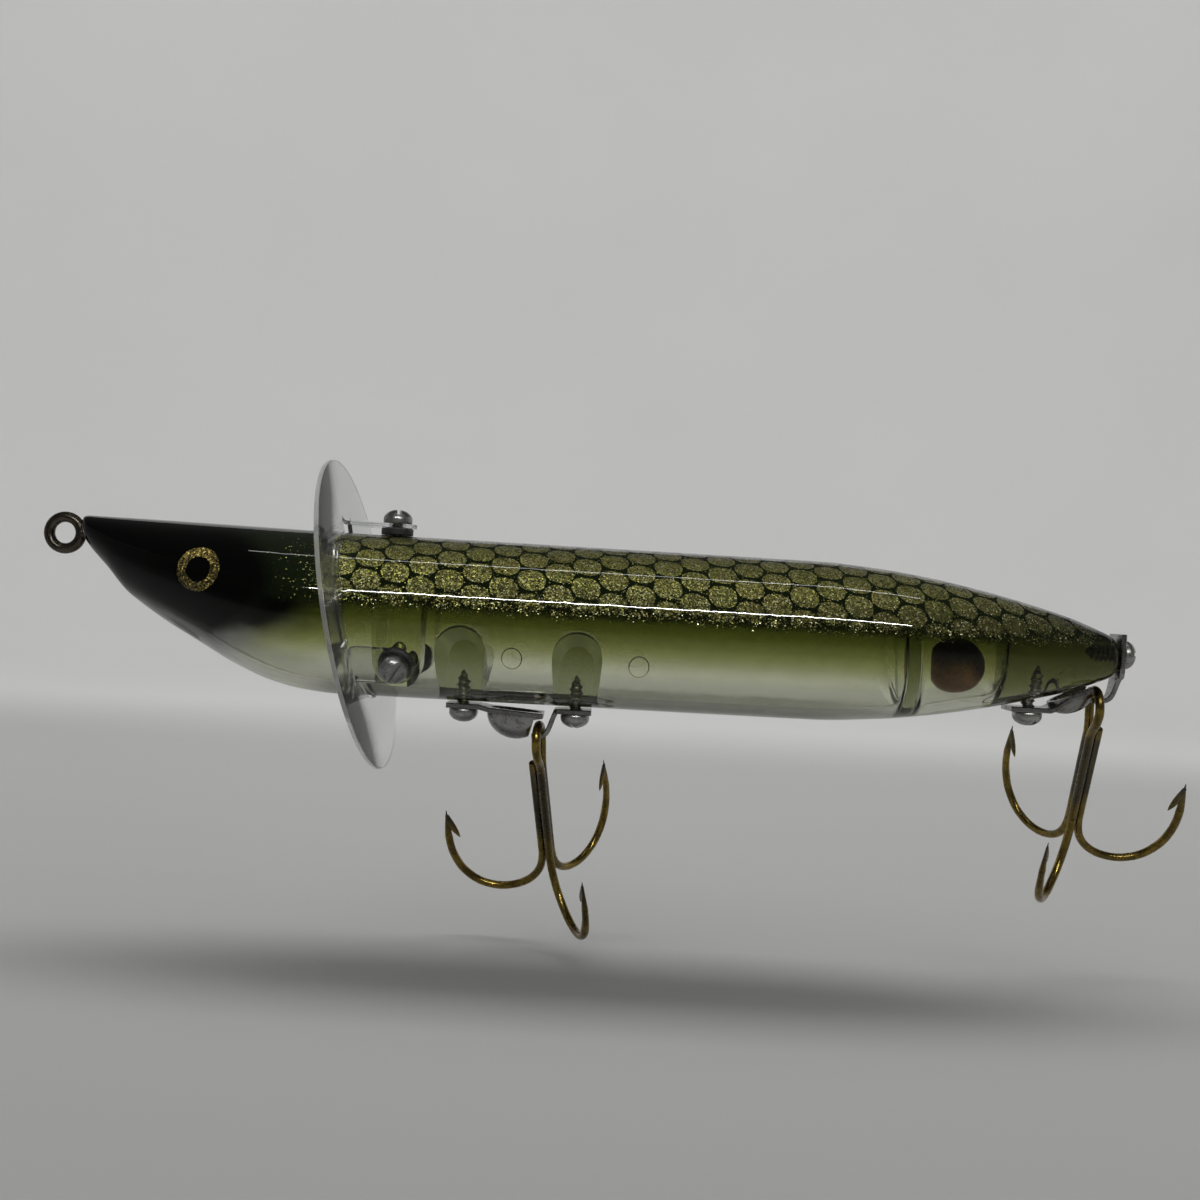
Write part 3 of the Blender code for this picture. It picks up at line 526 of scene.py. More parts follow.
def painted_body():
    """Clear plastic with a lacquered back: black-green, gold-glitter scales, olive fading to clear."""
    f = Finish("painted clear body")
    s, g, h = f.split(f.value("Attribute", output="Vector", attribute_name="skin"))
    place = f.place()
    wave = f.noise(place, 2.6, 3.0) - 0.5
    fine = f.noise(place, 0.5, 2.0)
    grain = fine - 0.5

    # Lacquer that light crosses, by height, and lower on the solid tail. Over the tail this is partly
    # painted light, a green glow for light carried along the solid block. The darkest stops are painted
    # shade along the keel.
    tail = f.rise(s, 145.0, 152.0)
    neck = f.rise(s, 36.0, 46.0, 1.0, 0.0)
    lacquer_and_painted_light = f.ramp(h + tail + wave * 0.9 + neck + grain * 0.5, LACQUER_AND_KEEL_SHADE)
    lacquer_and_painted_light = f.mix(tail, lacquer_and_painted_light, TAIL_TINT_AND_GLOW, "MULTIPLY")

    # Black spray round the eyes and over the nose
    blob = f.distance((s - 19.5) / 12.5, (h - 4.3) / 8.6) + wave * 0.12
    line = h + (s - 13.1) * 0.40 - 0.8 + wave * 0.8
    black = f.highest(f.rise(blob, 0.86, 1.22, 1.0, 0.0), f.rise(s, 13.0, 17.0, 1.0, 0.0))
    black = black * f.rise(line, -1.2, 0.7)
    haze = f.highest(f.rise(blob, 0.95, 1.7, 0.10, 0.95), f.rise(line, -1.5, -3.2, 0.0, 0.5))
    smoke = f.blend(f.rise(s, 34.0, 44.0), haze, 1.0)
    lacquer_and_painted_light = f.mix(f.rise(s, 23.0, 33.0), (0.74, 0.75, 0.72), lacquer_and_painted_light)
    lacquer_and_painted_light = f.mix(1.0, lacquer_and_painted_light, smoke, "MULTIPLY")

    # Gold flecks in the scales, and a few on the back of the head
    random = f.cells(place, FLECK)
    r1, r2, r3 = f.split(random)
    blur = f.rise(h, 6.5, 2.5, 0.03, 0.55)
    spot = f.rise(scale_field(f, s, g) + grain * 0.25, 0.96 - blur, blur + 0.98, 1.0, 0.0)
    bare = f.rise(s, 30.0, 44.0) * f.rise(g, 3.0, 9.0) * 0.06
    cover = f.blend(f.rise(s, 38.0, 45.5, 1.0, 0.0), spot * 0.93 + 0.05, bare)
    cover = cover * f.rise(h + wave * 2.2, 0.9, 4.3) * f.rise(s, 160.5, 164.5, 1.0, 0.0)
    fleck = cover * (1.0 - black) > r2

    # Gold rings of the eyes, on both flanks
    eye = f.distance(s - EYE["s"], h - EYE["h"]) + grain * 0.35
    ring = (eye > EYE["pupil"]) * (eye < EYE["outer"])
    gold_share = f.highest(fleck, ring * (r2 < 0.93))
    opaque = f.highest(f.rise(h + wave * 0.8, 0.9, 3.3), black, gold_share)

    under = f.mix(f.rise(g, 2.5, 7.5), (0.002, 0.003, 0.002), (0.009, 0.015, 0.004))
    nape = f.rise(s, 22.0, 40.0) * f.rise(s, 44.0, 47.0, 1.0, 0.0) * f.rise(h, 5.0, 10.0)
    under = f.mix(nape, under, (0.012, 0.017, 0.009))
    under = f.mix(black, under, (0.0006, 0.0008, 0.0006))
    hue = f.mix(f.noise(place, 6.0, 1.0), (0.385, 0.42, 0.085), (0.50, 0.445, 0.13))
    hue = f.mix(ring, hue, (0.40, 0.31, 0.08))
    # Gold is lightest in a band high on the flank: painted light where the flecks catch the overhead lamp.
    # The eye ring's share is its own colour.
    gold_tone_and_light = f.highest(f.rise(g, 1.5, 6.0, 0.25, 1.55) * f.rise(h, 4.5, 8.5, 0.42, 1.0), ring * 0.85)
    gold = f.mix(1.0, hue, (r1 ** 2.0 * 0.75 + 0.10) * gold_tone_and_light, "MULTIPLY")
    # Pale specks on the flanks: painted glints of the glitter
    painted_glint = (r3 > 0.93) * f.rise(g, 4.0, 8.0) * (1.0 - ring)
    gold = f.mix(painted_glint, gold, (0.86, 0.86, 0.50))
    base = f.mix(opaque, lacquer_and_painted_light, f.mix(gold_share, under, gold))
    clear = f.math("SUBTRACT", 1.0, opaque, clamp=True)

    # Each fleck lies at its own tilt under the smooth topcoat
    lean = f.scaled(f.vector("SUBTRACT", random, (0.5, 0.5, 0.5)), gold_share * 0.7)
    dimple_s, dimple_h, dimple_radius = DIMPLE
    dimple = f.rise(f.distance(s - dimple_s, h - dimple_h), dimple_radius - 0.35, dimple_radius)
    peel = f.bump(f.noise(place, 1.8, 1.0), 0.06, 0.2, f.bump(dimple, 0.9, 0.18))
    f.set(Base_Color=base, Metallic=gold_share * 0.75,
          Roughness=f.blend(opaque, f.rise(fine, 0.3, 0.8, 0.012, 0.03), gold_share * 0.3 + 0.03),
          IOR=BODY_IOR, Transmission_Weight=clear, Coat_Weight=gold_share, Coat_Roughness=0.025,
          Coat_IOR=1.5, Normal=f.vector("NORMALIZE", f.vector("ADD", peel, lean)), Coat_Normal=peel)
    f.let_lamps_through(f.value("Gamma", (lacquer_and_painted_light, 0.5)), clear)
    return f.material


def clear_inside():
    """The unpainted inner face of the wall, with round mould marks and faint flow lines."""
    f = Finish("clear moulded inside")
    place = f.place()
    x, _, z = f.split(place)
    first, second = (f.rise(f.distance(x - (s + NOSE_X), z - (h + AXIS_Z)), radius - 0.16, radius + 0.02)
                     for s, h, radius in MOULD_MARKS)
    flow = f.noise(f.vector("MULTIPLY", place, (0.25, 1.0, 1.0)), 1.4, 2.0)
    speck = f.cells(place, 2.4, "Distance") < 0.045
    f.set(Base_Color=f.mix(speck, CLEAR_TINT, (0.35, 0.35, 0.30)),
          Roughness=f.rise(flow, 0.3, 0.8, 0.01, 0.035), IOR=BODY_IOR, Transmission_Weight=1.0,
          Normal=f.bump(first + second, 0.8, 0.3, f.bump(flow, 0.05, 0.15)))
    f.let_lamps_through(CLEAR_TINT)
    return f.material


def glued_seam():
    """The parting face: welded over the posts and the tail block, a hairline crack in the wall. The weld
    passes only about two thirds of the light, a grey tint that is painted shade over the posts and the
    tail block.
    """
    f = Finish("welded parting face")
    place = f.place()
    x, _, z = f.split(place)
    open_crack = f.rise(abs(z - AXIS_Z), 10.6, 10.9) * f.rise(x, 150.0, 151.0, 1.0, 0.0)
    f.set(Base_Color=CLEAR_TINT, Roughness=f.rise(f.noise(place, 0.8), 0.3, 0.8, 0.01, 0.05),
          IOR=BODY_IOR, Transmission_Weight=1.0)
    # Painted shade: the weld dims light crossing it to about two thirds
    welded = f.node("BsdfTransparent", {"Color": WELD_SHADE_TINT})
    lit = 1.0 - f.value("LightPath", output="Is Shadow Ray")
    f.surface(open_crack * lit, welded, f.shader)
    return f.material


def clear_sheet(name, edge):
    """Clear bent sheet with hairline scratches; its cut edge is frosted and pale."""
    f = Finish(name)
    place = f.place()
    scratches = f.noise(f.vector("MULTIPLY", place, (3.0, 0.22, 2.6)), 0.5, 2.0, 0.7)
    smear = f.noise(place, 5.0, 3.0)
    if edge:
        base = f.mix(smear, (0.80, 0.81, 0.81), (0.92, 0.93, 0.93))
        rough = f.rise(smear, 0.3, 0.7, 0.25, 0.42)
    else:
        hair = f.rise(scratches, 0.66, 0.72)
        base = f.mix(hair, (0.74, 0.75, 0.75), (0.58, 0.58, 0.58))
        rough = f.rise(smear, 0.35, 0.75, 0.01, 0.07) + hair * 0.12
    f.set(Base_Color=base, Roughness=rough, IOR=SHEET_IOR, Transmission_Weight=0.5 if edge else 0.98,
          Normal=f.bump(scratches, 0.08, 0.05))
    f.let_lamps_through((0.9, 0.9, 0.9))
    return f.material


# ---- Metal and small finishes ----
def worn_metal(name, bright, dull, dark, rough, grain, bare=None):
    """Plated metal: mottled plating, darker grime in patches and fine bumps."""
    f = Finish(name)
    place = f.place()
    broad = f.noise(place, grain * 6, 3.0, 0.6)
    fine = f.noise(place, grain, 3.0, 0.65)
    pits = f.noise(place, grain * 0.45, 2.0, 0.6)
    base = f.mix(f.rise(broad, 0.35, 0.65), bright, dull)
    base = f.mix(f.rise(fine, 0.52, 0.72, 0.0, 0.75), base, dark)
    if bare:
        base = f.mix(bare(f), base, (0.075, 0.072, 0.062))
    f.set(Base_Color=base, Metallic=1.0, Roughness=f.rise(fine + broad * 0.5, 0.45, 1.0, *rough),
          Normal=f.bump(pits, 0.22, 0.06, f.bump(fine, 0.15, 0.12)))
    return f.material


def brazed(eye):
    """Share of grey braze on a treble, by the distance below its eye."""
    down = Vector(HANG).normalized()
    centre = at(*eye) / MM

    def share(f):
        place = f.place()
        off = f.vector("SUBTRACT", place, centre)
        along = f.value("VectorMath", (off, down), "Value", operation="DOT_PRODUCT")
        below = along + f.noise(place, 1.5, 2.0) * 4.0
        return f.rise(below, 6.5, 9.5) * f.rise(below, 19.0, 25.0, 1.0, 0.0) * 0.8

    return share


def black_plastic():
    """Matt black plastic with fine moulding grain."""
    f = Finish("matt black plastic")
    place = f.place()
    grain = f.noise(place, 0.18, 3.0)
    base = f.mix(f.noise(place, 1.2, 2.0), (0.012, 0.012, 0.012), (0.030, 0.030, 0.028))
    f.set(Base_Color=base, Roughness=f.rise(grain, 0.3, 0.7, 0.42, 0.62), Normal=f.bump(grain, 0.3, 0.03))
    return f.material


# ---- Body ----
top_at, belly_at, width_at = (curve_through(p) for p in (TOP_LINE, BELLY_LINE, HALF_WIDTH))


def section(s):
    """Middle height, half-height and half-width of the body at a station."""
    top = top_at(s)
    belly = np.where(s < HEAD_END, belly_at(np.minimum(s, HEAD_END)), -top)
    width = np.where(s < HEAD_END, width_at(np.minimum(s, HEAD_END)), top)
    return (top + belly) / 2, (top - belly) / 2, width


def body_ring(s, inset=0.0, rake=0.0, shrink=0.0):
    """The body's cross-section at a station, inset by a wall and shrunk further for rounding."""
    middle, half, width = (float(v) for v in section(np.float64(s)))
    half, width = half - inset - shrink, width - inset - shrink
    lean = NOSE_RAKE * max(0.0, 1 - s / NOSE_RAKE_END)
    ring = []
    for i in range(RING_POINTS):
        t = 2 * pi * (i + 0.5) / RING_POINTS
        h, y = middle + half * cos(t), width * sin(t)
        ring.append(at(s + lean * (h - middle) + rake * h, h, y))
    return ring


def stations(start, end, step):
    return [float(s) for s in np.linspace(start, end, int((end - start) / step) + 1)]


def outer_form():
    rings = [body_ring(s, shrink=k) for s, k in NOSE_ROUNDING]
    rings += [body_ring(s) for s in stations(0.9, 12.0, 0.6) + stations(12.8, 150.0, 1.2)[:-1]]
    rings += [body_ring(s) for s in stations(150.0, BODY_END - 0.5, 0.6)]
    rings += [body_ring(BODY_END - s, shrink=k) for s, k in TAIL_ROUNDING]
    return loft("outer", rings)


def hollow(start, end, rakes, rounding):
    """The hollow between two stations: the body's form less its wall, with rounded ends."""

    def rounded(share, s, rake):
        drop = rounding * (1 - sqrt(1 - share * share))
        return body_ring(s, WALL, rake, drop)

    shares = (1.0, 0.97, 0.88, 0.7, 0.45, 0.2, 0.0)
    rings = [rounded(k, start + rounding * (1 - k), rakes[0]) for k in shares]
    for s in stations(start + rounding, end - rounding, 1.5)[1:-1]:
        first_half = (s - start) / (end - start) < 0.5
        rake, depth = (rakes[0], s - start) if first_half else (rakes[1], end - s)
        rings.append(body_ring(s, WALL, rake * max(0.0, 1 - (depth - rounding) / RAKE_REACH)))
    rings += [rounded(k, end - rounding * (1 - k), rakes[1]) for k in reversed(shares)]
    return loft("hollow", rings)


def post_outline(s, half_width, top, steps=16):
    """A round-topped post with flared feet, as (s, h) points."""
    cap = [(s - half_width * cos(a), top - half_width + half_width * sin(a)) for a in spread(0, pi, steps)]
    drop = BOSS_FLARE_FOOT - BOSS_FLARE_TOP
    flare = [(BOSS_FLARE * (1 - cos(a)), BOSS_FLARE_TOP + drop * sin(a))
             for a in spread(0, pi / 2, 6)[1:]]
    left = [(s - half_width - x, h) for x, h in reversed(flare)]
    right = [(s + half_width + x, h) for x, h in flare]
    foot = half_width + BOSS_FLARE
    return [(s - foot, -OUTSIDE)] + left + cap + right + [(s + foot, -OUTSIDE)]


def belly_bosses():
    """The posts that take the front hanger's screws, one half in each moulding."""
    wide, top = BELLY_BOSS_WALL
    made = []
    for s in (FRONT_SCREW_S, REAR_SCREW_S):
        for sign in (-1, 1):
            rings = [[at(*p, sign * -0.2) for p in post_outline(s, *BELLY_BOSS_MIDDLE)]]
            for y, grow in BOSS_FILLET:
                rings.append([at(*p, sign * y) for p in post_outline(s, wide + grow, top + grow)])
            made.append(loft("post", rings))
    return made


def side_bosses():
    """The blocks in the flanks that take the collar's side screws."""
    start, end, top, bottom, depth = (SIDE_BOSS[k] for k in ("start", "end", "top", "bottom", "depth"))
    middle, half = (start + end) / 2, (end - start) / 2
    round_foot = [(middle + half * cos(a), bottom + half - half * sin(a)) for a in spread(0, pi, 20)]
    outline = [(start, top), (end, top)] + round_foot
    return [loft("post", [[at(s, h, sign * y) for s, h in outline] for y in (depth, POST_REACH)])
            for sign in (-1, 1)]


def head_rib():
    """A leaning web behind the eyes."""
    (s0, h0), (s1, h1) = HEAD_RIB["foot"], HEAD_RIB["top"]
    across = Vector((h1 - h0, s0 - s1)).normalized() * HEAD_RIB["thickness"] / 2
    return prism([(s0 - across.x, h0 - across.y), (s1 - across.x, h1 - across.y),
                  (s1 + across.x, h1 + across.y), (s0 + across.x, h0 + across.y)], HEAD_RIB["half_width"])


def bosses():
    """Solids that stand in the main hollow: screw posts, ribs and the block behind the nose."""
    s, nose = TAB_SCREW_S["top"], NOSE_BOSS
    top_post = rod(at(s, TOP_BOSS["bottom"]), at(s, POST_REACH), TOP_BOSS["radius"])
    nose_block = box((nose["start"], -nose["half_width"], nose["bottom"]),
                     (nose["end"], nose["half_width"], OUTSIDE))
    return belly_bosses() + side_bosses() + [top_post, nose_block, head_rib()]


def inside_out(void):
    """A hollow's mesh with its faces turned to it and marked as the inner face of the wall."""
    inner = bmesh.new()
    inner.from_mesh(void)
    bmesh.ops.recalc_face_normals(inner, faces=inner.faces)
    bmesh.ops.reverse_faces(inner, faces=inner.faces)
    for face in inner.faces:
        face.material_index = 1
    carried = bpy.data.meshes.new("carried")
    inner.to_mesh(carried)
    inner.free()
    return carried


def add_skin(mesh):
    """Stores station, girth from the back and height at each point, for the paint."""
    co = np.array([v.co for v in mesh.vertices]) / MM
    s, h, y = co[:, 0] - NOSE_X, co[:, 2] - AXIS_Z, np.abs(co[:, 1])
    middle, half, width = section(np.clip(s, 0.0, BODY_END))
    girth = np.arctan2(y / width, (h - middle) / half) * (half + width) / 2
    skin = mesh.attributes.new("skin", "FLOAT_VECTOR", "POINT")
    skin.data.foreach_set("vector", np.stack([s, girth, h], axis=1).astype(np.float32).ravel())


def body_half(sign, outer, voids):
    """One moulded half: the outer form with its hollows, parted at the seam."""
    bm = bmesh.new()
    bm.from_mesh(outer)
    for face in bm.faces:
        face.material_index = 0
    for void in voids:
        bm.from_mesh(inside_out(void))
    everything = list(bm.verts) + list(bm.edges) + list(bm.faces)
    bmesh.ops.bisect_plane(bm, geom=everything, dist=1e-8, plane_co=(0, sign * SEAM * MM, 0),
                           plane_no=(0, -sign, 0), clear_outer=True)
    rim = [e for e in bm.edges if e.is_boundary]
    filled = bmesh.ops.triangle_fill(bm, edges=rim, use_beauty=True, normal=(0, -sign, 0))
    for face in (g for g in filled["geom"] if isinstance(g, bmesh.types.BMFace)):
        face.material_index = 2
        if face.normal.y * sign > 0:
            face.normal_flip()
    mesh = bpy.data.meshes.new("half")
    bm.to_mesh(mesh)
    bm.free()
    add_skin(mesh)
    return mesh


def make_body():
    main = hollow(CAVITY_START, BULKHEAD_START, (0.0, BULKHEAD_RAKE), 1.2)
    main = combine(main, [("DIFFERENCE", boss) for boss in bosses()])
    chamber = hollow(CHAMBER_START, CHAMBER_END, (BULKHEAD_RAKE, 0.0), 1.6)
    finishes = [painted_body(), clear_inside(), glued_seam()]
    outer = outer_form()
    for side, sign in (("left", -1), ("right", 1)):
        put(f"{side}_half_moulding", body_half(sign, outer, (main, chamber)), finishes, "lure_body",
            [f"body_{side}_half"], 32.0)


# ---- Collar ----
def radial(name):
    """Unit vector out of the body at a collar tab."""
    angle = radians(TAB_ELEVATION[name])
    return Vector((0, cos(angle), sin(angle)))


def tab_path(out, tip_centre):
    """(along, out) places, directions and half-widths of a tab, from inside the plate to its tip."""
    slope = tan(radians(COLLAR_RAKE)) * out.z
    lean = atan(slope)  # the plate's slope where the tab leaves it
    middle, half = TAB_UNDERSIDE + SHEET / 2, TAB_WIDTH / 2
    bend_r = middle + TAB_BEND * (1 + sin(lean))
    centre = Vector((-bend_r * slope, bend_r)) + Vector((cos(lean), sin(lean))) * TAB_BEND
    points = [(Vector((-TAB_START_R * slope, TAB_START_R)), Vector((sin(lean), -cos(lean))))]
    for i in range(9):
        a = lean + (pi / 2 - lean) * i / 8
        points.append((centre - Vector((cos(a), sin(a))) * TAB_BEND,
                       Vector((sin(a), -cos(a)))))
    shift = middle - points[-1][0].y
    points = [(p + Vector((-shift * slope, shift)), d) for p, d in points]
    widths = [half] * (len(points) + 3)
    bend_end, along = points[-1][0].x, Vector((1, 0))
    points += [(Vector((bend_end + (tip_centre - bend_end) * k / 3, middle)), along) for k in (1, 2, 3)]
    for i in range(1, 10):
        a = pi / 2 * i / 9.3
        points.append((Vector((tip_centre + half * sin(a), middle)), along))
        widths.append(half * cos(a))
    return points, widths


def tab_mesh(name):
    """A strip that leaves the plate, bends back along the body and ends in a round tip."""
    out = radial(name)
    side = REARWARD.cross(out)
    rings = []
    for (p, d), w in zip(*tab_path(out, TAB_SCREW_S[name] - COLLAR_S)):
        ring = []
        for u, v in strip_section(w, SHEET * 0.46, min(0.12, w * 0.4)):
            q = p + Vector((-d.y, d.x)) * v
            ring.append(at(COLLAR_S + q.x, 0) + (side * u + out * q.y) * MM)
        rings.append(ring)
    return loft("tab", rings)


def collar_steps():
    """What is cut from the plate, and the tabs that are joined to it."""
    steps = [("DIFFERENCE", rod(at(COLLAR_S - 12, 0), at(COLLAR_S + 12, 0), COLLAR_HOLE, 96))]
    low, high, w = 11.0, TAB_UNDERSIDE + SHEET + TAB_BEND * 0.6, TAB_WIDTH / 2 + 0.12
    for name in TAB_SCREW_S:
        out = radial(name)
        side = REARWARD.cross(out)
        notch = [[at(COLLAR_S + x, 0) + (side * u + out * r) * MM
                  for u, r in ((-w, low), (w, low), (w, high), (-w, high))] for x in (-8.0, 8.0)]
        steps.append(("DIFFERENCE", loft("notch", notch)))
    for name, s in TAB_SCREW_S.items():
        out = radial(name) * MM
        hole = rod(at(s, 0) + out * 13, at(s, 0) + out * 16, 1.3)
        steps.append(("UNION", combine(tab_mesh(name), [("DIFFERENCE", hole)])))
    return steps


def make_collar():
    """Raked round plate with three bent tabs, one sheet with a rounded rim."""
    rim, half = 0.16, SHEET / 2
    edge = [(COLLAR_RADIUS - rim + rim * cos(a), copysign(half - rim, a) + rim * sin(a))
            for a in spread(pi / 2, -pi / 2, 8) if a]
    profile = [(2.0, half)] + edge + [(2.0, -half)]
    axis = Matrix.Rotation(radians(90 - COLLAR_RAKE), 3, "Y") @ UP
    mesh = combine(turned(profile, at(COLLAR_S, 0), axis, 160), collar_steps())
    for polygon in mesh.polygons:
        c = polygon.center / MM
        at_rim = hypot(c.y, c.z - AXIS_Z) > COLLAR_RADIUS - 1.2
        polygon.material_index = 1 if at_rim and abs(polygon.normal.dot(axis)) <= 0.9 else 0
    finishes = [clear_sheet("clear sheet", False), clear_sheet("clear sheet cut edge", True)]
    put("collar_sheet", mesh, finishes, "lure_body", ["collar_plate"], 30.0)


def make_spacers():
    """Black rings under the tabs."""
    black = black_plastic()
    bottom, top, radius, bore, edge = (SPACER[k] for k in ("bottom", "top", "radius", "bore", "edge"))
    profile = [(bore, top), (radius - edge, top), (radius, top - edge), (radius, bottom + edge),
               (radius - edge, bottom), (bore, bottom)]
    for name, s in TAB_SCREW_S.items():
        put(f"spacer_{name}", turned(profile, at(s, 0), radial(name), 48, True), [black], "lure_body",
            [f"collar_spacer_{name}"])


# ---- Screws and line tie ----
def screw_places():
    """Seat of each screw's head, the way the head faces, its shaft's length and its slot's turn."""
    seat = (TAB_UNDERSIDE + SHEET + 0.05) * MM
    places = {f"collar_screw_{name}": (at(s, 0) + radial(name) * seat, radial(name), COLLAR_SCREW_LENGTH,
                                       TAB_SLOT_TURN[name]) for name, s in TAB_SCREW_S.items()}
    down = Vector((0, 0, -1))
    for name, (s, h, turn) in BELLY_SCREWS.items():
        places[name] = (at(s, h), down, HANGER_SCREW_LENGTH, turn)
    places["tail_hanger_screw_tail"] = (at(*TAIL_SCREW_SEAT), REARWARD, TAIL_SCREW_LENGTH,
                                        TAIL_SCREW_TURN)
    return places


def thread_radius(angle, z):
    """Radius of a thread's surface at a depth, before the point's taper."""
    phase = (z / THREAD_PITCH - angle / (2 * pi)) % 1.0
    ridge = max(0.0, 1 - abs(phase - 0.5) / 0.34)
    return SHAFT_RADIUS + (CREST_RADIUS - SHAFT_RADIUS) * ridge


def screw_mesh(seat, out, length, turn):
    """A round-head screw with a cut thread and a slot."""
    sides, rows_per_pitch, taper = 40, 10, 1.5
    place = facing(seat, out) @ Matrix.Rotation(radians(turn), 4, "Z")
    dome = [(HEAD_RADIUS * sin(a), HEAD_HEIGHT * (0.28 + 0.72 * cos(a)))
            for a in spread(0, pi / 2, 12)[1:]]
    foot = [(HEAD_RADIUS, 0.3), (HEAD_RADIUS * 0.985, 0.1), (HEAD_RADIUS * 0.94, 0.0), (CREST_RADIUS, 0.0)]
    rows = [(z, [r] * sides) for r, z in dome + foot]
    count = int((length - 0.25) / THREAD_PITCH * rows_per_pitch)
    for k in range(1, count + 1):
        z = (length - 0.05) * k / count
        narrow = 1.0 if z < length - taper else max(0.06, (length - z) / taper) ** 0.7
        rows.append((-z, [narrow * thread_radius(a, z) for a in angles(sides)]))
    rings = [[place @ (Vector((*circled(r, a), z)) * MM)
              for a, r in zip(angles(sides), radii)] for z, radii in rows]
    bm = bmesh.new()
    bmesh.ops.create_cube(bm, size=1.0)
    bmesh.ops.scale(bm, vec=Vector((SLOT_WIDTH, 6.0, 2 * SLOT_DEPTH)) * MM, verts=bm.verts)
    slot = moved(mesh_of("slot", bm), place @ Matrix.Translation((0, 0, HEAD_HEIGHT * MM)))
    return combine(loft("screw", rings), [("DIFFERENCE", slot)])


def make_screws(zinc):
    for name, place in screw_places().items():
        put(f"{name}_threaded", screw_mesh(*place), [zinc], "lure_body", [name], 38.0)


def make_line_tie(nickel):
    """A wire bent into a ring, its shaft running into the nose."""
    wire = TIE_WIRE / 2
    ring = [(TIE_RING + wire * cos(a), wire * sin(a)) for a in angles(24)]
    eye = turned(ring, Vector((0, 0, 0)), Vector((0, 1, 0)), 72, True)
    run = rounded_path([(x * MM, 0, 0) for x in (TIE_RING, NOSE_X + 1.0, NOSE_X + TIE_SHAFT_END)], 4)
    shaft = sweep(run, [wire * 0.97] * len(run), sides=24)
    put("line_tie_wire", combine(eye, [("UNION", shaft)]), [nickel], "lure_body", ["line_tie_screw_eye"])


# ---- Hook hangers ----
def ribbon(path, widths, steps=4):
    """A strip with bevelled edges along an (s, h) path in the seam plane."""
    places = rounded_path([(s, h, w) for (s, h), w in zip(path, widths)], steps)
    rings = []
    for before, p, after in zip(places[:1] + places, places, places[1:] + places[-1:]):
        run = (after - before).xy.normalized()
        rings.append([at(p.x - run.y * v, p.y + run.x * v, u)
                      for u, v in strip_section(p.z / 2, STRIP / 2, STRIP_EDGE)])
    return loft("ribbon", rings)


def cup_ball(turn, radii, lidded):
    """A ball with three half-axes; a lid cuts it off above its middle."""
    bm = bmesh.new()
    bmesh.ops.create_uvsphere(bm, u_segments=56, v_segments=36, radius=1.0)
    bmesh.ops.scale(bm, vec=Vector(radii) * MM, verts=bm.verts)
    bm.transform(turn)
    ball = mesh_of("cup", bm)
    if not lidded:
        return ball
    lid = moved(box((-30, -10, 0.4), (30, 10, 20)), turn @ Matrix.Translation(-at(0, 0)))
    return combine(ball, [("DIFFERENCE", lid)])


def scoop(path, widths, cup_centre, cup_size, cup_lean, mouth):
    """A strip that ends in a pressed cup, open towards the hook's eye."""
    turn = Matrix.Translation(at(*cup_centre)) @ Matrix.Rotation(radians(cup_lean), 4, "Y")
    return combine(ribbon(path, widths, 1),
                   [("UNION", cup_ball(turn, cup_size, True)),
                    ("DIFFERENCE", cup_ball(turn, [v - CUP_SHEET for v in cup_size], False)),
                    ("DIFFERENCE", prism(mouth, 6.0))])


def make_hangers(plated):
    for end in SCOOPS:
        for kind, mesh in (("scoop", scoop(**SCOOPS[end])), ("loop", ribbon(**LOOPS[end]))):
            name = f"{end}_hanger_{kind}"
            put(f"{name}_strip", mesh, [plated], "lure_body", [name], 38.0)


